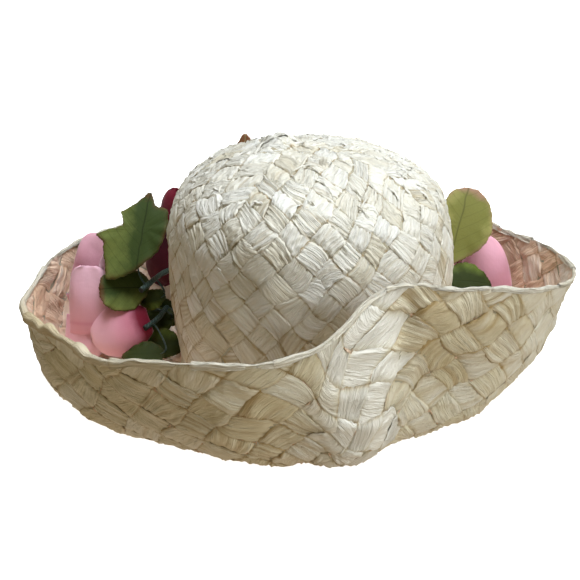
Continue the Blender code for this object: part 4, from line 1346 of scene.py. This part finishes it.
def whorl(bunch, own, centre, look, radius, depth, count, turn, r0, r1, h0, h1, spread, flare, shade, bare=None):
    """Petals round the axis of a rose: they start at radius r0 and height h0 and reach r1 and h1, as shares."""
    side, upright, axis = frame_of(look)
    b = np.linspace(0, 1, 19)[:, None]
    a = np.linspace(-1, 1, 19)[None]
    for k in range(count):
        middle = turn + 2 * math.pi * k / count + own.uniform(-0.08, 0.08)
        if bare is not None and math.cos(middle - bare) > 0.62:
            continue
        w = petal_outline(b, 0.45, 0.66)
        angle = middle + a * spread * w
        bell = np.sin(b * np.pi / 2) ** 0.75
        r = radius * (r0 + (r1 - r0) * bell)
        r = r + radius * flare * smooth((b - 0.62) / 0.38) * (0.7 + 0.3 * np.cos(a * 2))
        r = r * (1 - 0.10 * np.abs(a) ** 2.5 * b) + 0.02 * radius * k
        h = radius * depth * (h0 + (h1 - h0) * b ** 1.15)
        h = h - radius * 0.10 * np.abs(a) ** 2 * b + radius * 0.025 * np.sin(6 * a + own.uniform(0, 6)) * b
        h = h - radius * max(flare, 0) * 0.5 * smooth((b - 0.82) / 0.18)
        points = (
            np.asarray(centre, float)
            + (r * np.cos(angle))[..., None] * side
            + (r * np.sin(angle))[..., None] * upright
            + (h + 0 * a)[..., None] * axis
        )
        bunch.add(points, b * 1.0 + 0 * a, a + 0 * b, 0 * a * b, np.clip(shade + own.uniform(-0.1, 0.15), 0, 1))


def make_rose(name, centre, look, radius, depth, turn, mat, extra, bare=None):
    own = np.random.default_rng(sum(map(ord, name)))
    bunch = Bunch()
    turn = math.radians(turn)
    whorl(bunch, own, centre, look, radius, depth, 6, turn, 0.10, 0.86, -0.58, 0.20, 0.62, 0.10, 0.05, bare)
    whorl(bunch, own, centre, look, radius, depth, 5, turn + 0.5, 0.10, 0.70, -0.40, 0.42, 0.70, 0.06, 0.10, bare)
    whorl(bunch, own, centre, look, radius, depth, 5, turn + 1.1, 0.08, 0.50, -0.20, 0.56, 0.78, 0.05, 0.2)
    whorl(bunch, own, centre, look, radius, depth, 4, turn + 0.2, 0.06, 0.32, -0.05, 0.68, 0.95, 0.04, 0.3)
    whorl(bunch, own, centre, look, radius, depth, 3, turn + 0.9, 0.05, 0.17, 0.05, 0.78, 1.3, 0.02, 0.45)
    for row in extra:
        puff(bunch, own, *row[:6], **row[6])
    return bunch.build(name, mat)


def make_leaf(row, mats, replaced=True):
    name, outline, place, facing, scale, cup, foot, tip, kind = row
    own = np.random.default_rng(sum(map(ord, name)))
    face = unit(facing)
    right = unit(np.array([1.0, 0, 0]) - face[0] * face)
    upright = np.cross(face, right)
    if upright[2] < 0:
        upright = -upright
    edge = np.array(outline) * scale
    # a smooth outline with small teeth
    closed = np.concatenate([edge, edge[:1]])
    run = np.concatenate([[0], np.cumsum(np.linalg.norm(np.diff(closed, axis=0), axis=1))])
    count = 168
    at = np.linspace(0, run[-1], count, endpoint=False)
    knots = run[:-1]
    smoothed = np.stack([spline(knots, edge[:, k], at, run[-1]) for k in range(2)], -1)
    straight = np.stack([np.interp(at, run, closed[:, k]) for k in range(2)], -1)
    ring = 0.6 * smoothed + 0.4 * straight
    tangent = np.roll(ring, -1, 0) - np.roll(ring, 1, 0)
    outward = unit(np.stack([tangent[:, 1], -tangent[:, 0]], -1))
    middle = edge.mean(0)
    if (outward * (ring - middle)).sum() < 0:
        outward = -outward
    tooth = np.mod(at / 2.6, 1.0)
    ring = ring + outward * (0.55 * (tooth - 0.4) + 0.2 * np.sin(at * 0.9))[:, None]
    foot, tip = np.array(foot) * scale, np.array(tip) * scale
    axis = unit(tip - foot)
    across = np.array([axis[1], -axis[0]])
    half = np.linalg.norm(tip - foot) / 2
    reach = np.linalg.norm(edge - middle, axis=1).max()
    shares = np.concatenate([[0.02], np.linspace(0.1, 1.0, 13)])
    flat = middle + (ring - middle)[None] * shares[:, None, None]
    local = (flat - (foot + tip) / 2) / half
    x, y = local @ across, local @ axis
    bow = -cup * ((flat - middle) ** 2).sum(-1) / reach**2
    fold = 1.6 * np.abs(x) * (1 if kind != "leaf_dark" else 0.6) - 0.5
    ripple = 0.7 * np.sin(5.0 * y + 3.0 * np.abs(x)) * shares[:, None] ** 2 + 0.5 * np.sin(9 * np.arctan2(y, x) + 1.0) * shares[:, None] ** 3
    height = bow + np.minimum(fold, 1.0) + ripple
    points = np.array(place, float) + flat[..., 0:1] * right + flat[..., 1:2] * upright + height[..., None] * face
    verts, faces, uvs, data = [], [], [], []
    total = 0
    ends = []
    thick = 0.30
    for side in (1, -1):
        verts.append((points + face * side * thick).reshape(-1, 3))
        rows = len(shares)
        faces.append(grid_faces(rows, count, total, flip=side < 0, closed=True))
        uvs.append(np.stack([x, y], -1).reshape(-1, 2))
        rim = np.clip((shares[:, None] - 0.88) / 0.12, 0, 1) * (0.35 + 0.65 * (0.5 + 0.5 * np.sin(at * 0.23 + 1.0)))[None]
        shade = 0.5 + 0.5 * np.sin(3.0 * x + 1.0) + 0 * rim
        data.append(np.stack([shade, rim, np.full_like(rim, 0.0 if side > 0 else 1.0)], -1).reshape(-1, 3))
        ends.append((total, total + (rows - 1) * count))
        total += rows * count
    quads = [tuple(f) for part in faces for f in part.tolist()]
    for j in range(count):
        k = (j + 1) % count
        quads.append((ends[0][1] + j, ends[0][1] + k, ends[1][1] + k, ends[1][1] + j))
    quads.append(tuple(ends[0][0] + j for j in range(count))[::-1])
    quads.append(tuple(ends[1][0] + j for j in range(count)))
    obj = mesh_object(
        name + "_looks", np.concatenate(verts) * MM, quads, mats[kind],
        uvs=[("leaf", np.concatenate(uvs))], colours=[("petal", np.concatenate(data))],
    )
    if replaced:
        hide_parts(name)
    return obj


def make_stem(name, places, mat, thick=None):
    own = np.random.default_rng(sum(map(ord, name)))
    run = np.concatenate([[0], np.cumsum(np.linalg.norm(np.diff(np.array(places), axis=0), axis=1))])
    at = np.linspace(0, run[-1], max(int(run[-1] / 1.6), 6))
    line = np.stack([spline(run, column(places, k), at) for k in range(3)], -1)
    tangent = unit(np.gradient(line, axis=0))
    slender = (thick or STEM_RADIUS) / STEM_RADIUS
    side = unit(np.cross(tangent, (0, 0, 1.0)))
    other = np.cross(tangent, side)
    angle = np.linspace(0, 2 * np.pi, 14, endpoint=False)
    wrap = 0.10 * np.sin(at[:, None] * 1.9 + angle[None]) + 0.06 * np.sin(at[:, None] * 0.7 + 2 * angle[None])
    radius = (STEM_RADIUS - 0.05 + wrap) * (1 + 0.05 * np.sin(at * 0.21))[:, None] * slender
    ring = line[:, None] + radius[..., None] * (np.cos(angle)[None, :, None] * side[:, None] + np.sin(angle)[None, :, None] * other[:, None])
    rows = len(at)
    # the cut ends: a slightly sunken face
    inner_first = line[0] + (ring[0] - line[0]) * 0.72 + tangent[0] * 0.2
    inner_last = line[-1] + (ring[-1] - line[-1]) * 0.72 - tangent[-1] * 0.2
    verts = np.concatenate([inner_first, ring.reshape(-1, 3), inner_last])
    faces = [tuple(f) for f in grid_faces(rows + 2, len(angle), closed=True, flip=True).tolist()]
    faces.append(tuple(range(len(angle))))
    last = (rows + 1) * len(angle)
    faces.append(tuple(range(last, last + len(angle)))[::-1])
    along = np.concatenate([[at[0]], at, [at[-1]]])
    fx, fy = np.meshgrid(along, angle * STEM_RADIUS, indexing="ij")
    end = np.zeros((rows + 2, len(angle)))
    end[0] = end[-1] = 1.0
    data = np.stack([np.full_like(end, 0.5), end, 0 * end], -1).reshape(-1, 3)
    obj = mesh_object(
        name + "_looks", verts * MM, faces, mat,
        uvs=[("fibre", np.stack([fx, fy], -1).reshape(-1, 2))], colours=[("petal", data)],
    )
    if thick is None:
        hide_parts(name)
    return obj


def make_stalks(mat):
    """A thin stalk from each leaf and each rose to the nearer of the two wires."""
    wires = []
    for places in (STEM_UPPER, STEM_LOWER):
        run = np.concatenate([[0], np.cumsum(np.linalg.norm(np.diff(np.array(places), axis=0), axis=1))])
        at = np.linspace(0, run[-1], 160)
        wires.append(np.stack([spline(run, column(places, k), at) for k in range(3)], -1)[4:-4])
    wires = np.concatenate(wires)
    ends = []
    for name, outline, place, facing, scale, cup, foot, tip, kind in LEAVES + SPRAY:
        face = unit(facing)
        right = unit(np.array([1.0, 0, 0]) - face[0] * face)
        upright = np.cross(face, right)
        if upright[2] < 0:
            upright = -upright
        foot, tip = np.array(foot) * scale, np.array(tip) * scale
        start = np.array(place) + foot[0] * right + foot[1] * upright - face * (cup * 0.6)
        away = unit(foot - tip)
        ends.append((name, start + face * -0.4, away[0] * right + away[1] * upright, 0.62))
    for name, centre, look, radius in (
        ("rose_pink_left", (-136.0, 32.0, 48.0), (-0.88, 0.36, 0.30), 37.0),
        ("rose_pink_right", (124.0, 77.0, 60.0), (0.66, 0.62, 0.42), 30.0),
        ("rose_magenta", (-84.0, 109.0, 80.0), (-0.36, 0.50, 0.78), 33.0),
    ):
        ends.append((name, np.array(centre) - unit(look) * radius * 0.45, -unit(look), 1.25))
    for name, start, onward, thick in ends:
        gap = np.linalg.norm(wires - start, axis=1)
        target = wires[np.argmin(gap)]
        if gap.min() < 2.5:
            continue
        t = np.linspace(0, 1, 6)[:, None]
        far = gap.min()
        points = bezier(start - onward * 3.0, start + onward * far * 0.35, target + np.array([0, 0, far * 0.12]), target, t)
        make_stem("stalk_" + name, [tuple(float(c) for c in point) for point in points], mat, thick)


def make_garland():
    pink = petal_material("petal_pink", lin(128, 20, 50), lin(225, 156, 176), lin(231, 182, 197), lin(208, 128, 150))
    magenta = petal_material("petal_magenta", lin(36, 1, 10), lin(118, 3, 36), lin(146, 10, 50), lin(56, 0, 16))
    make_rose(
        "rose_pink_left", (-136.0, 32.0, 48.0), (-0.88, 0.36, 0.30), 37.0, 0.82, 20.0, pink,
        [
            # the round petal in front, the tall one behind it with the one below, and the one above
            ((-120.5, 3.5, 34.5), (0.10, -0.92, 0.30), (-0.88, 0.0, -0.30), 18.5, 20.5, 9.5, dict(foot=0.42, curl=0.1, widest=0.55, pale=-0.11)),
            ((-142.5, 9.0, 54.0), (-0.12, -0.97, 0.20), (0.0, 0.0, 1.0), 13.5, 23.5, 6.5, dict(foot=0.92, curl=0.3, widest=0.5, pale=0.5, crease=-0.33, limp=0.9, square=0.45)),
            ((-146.5, 8.0, 27.0), (-0.15, -0.93, 0.30), (0.0, 0.1, -1.0), 14.0, 15.0, 6.0, dict(foot=0.95, curl=0.05, pale=0.5, square=0.6)),
            ((-139.5, 28.0, 77.0), (-0.15, -0.90, 0.35), (0.25, 0.0, 1.0), 14.0, 17.0, 5.0, dict(foot=0.9, curl=0.5, shade=0.55, pale=0.4, crease=-0.2, limp=1.1, square=0.55)),
        ],
        bare=0.15,
    )
    make_rose(
        "rose_pink_right", (124.0, 77.0, 60.0), (0.66, 0.62, 0.42), 30.0, 0.84, 64.0, pink,
        [((136.0, 58.0, 55.0), (0.10, -0.93, 0.33), (0.06, 0.0, 1.0), 20.5, 27.0, 7.5, dict(foot=0.9, curl=0.05, widest=0.12, shaded_side=-0.9, pale=0.3, shade=0.75))],
        bare=2.48,
    )
    make_rose(
        "rose_magenta", (-84.0, 109.0, 80.0), (-0.36, 0.50, 0.78), 33.0, 0.86, 0.0, magenta,
        [
            # its lowest petals hang down between the crown and the pink rose
            ((-99.0, 73.0, 62.0), (-0.45, -0.88, 0.12), (0.15, 0.0, -1.0), 14.0, 21.0, 5.0, dict(foot=0.6, curl=0.8, shade=1.6)),
            ((-88.0, 80.0, 91.0), (-0.50, -0.84, 0.22), (-0.1, 0.1, 1.0), 13.5, 21.0, 5.0, dict(foot=0.6, curl=0.8, shade=0.9)),
            ((-108.0, 84.0, 74.0), (-0.70, -0.70, 0.15), (-0.3, 0.0, 1.0), 12.0, 16.0, 4.0, dict(foot=0.6, curl=0.8, shade=1.3)),
        ],
    )
    mats = {
        "leaf_left": leaf_material("leaf_left", lin(118, 130, 68), lin(62, 78, 36), lin(34, 42, 20), lin(104, 70, 46), 0.74),
        "leaf_right": leaf_material("leaf_right", lin(166, 160, 98), lin(120, 120, 60), lin(78, 80, 42), lin(156, 124, 100), 0.66),
        "leaf_dark": leaf_material("leaf_dark", lin(90, 104, 40), lin(47, 57, 21), lin(42, 50, 18), lin(70, 58, 30), 0.85),
        "leaf_brown": leaf_material("leaf_brown", lin(112, 112, 66), lin(84, 88, 48), lin(140, 132, 92), lin(128, 84, 56), 0.35),
    }
    for row in LEAVES:
        make_leaf(row, mats)
    for row in SPRAY:
        make_leaf(row, mats, replaced=False)
    wire = wire_material()
    make_stem("stem_upper", STEM_UPPER, wire)
    make_stem("stem_lower", STEM_LOWER, wire)
    make_stalks(wire)


studio()
make_hat()
make_strands()
make_edge()
make_garland()
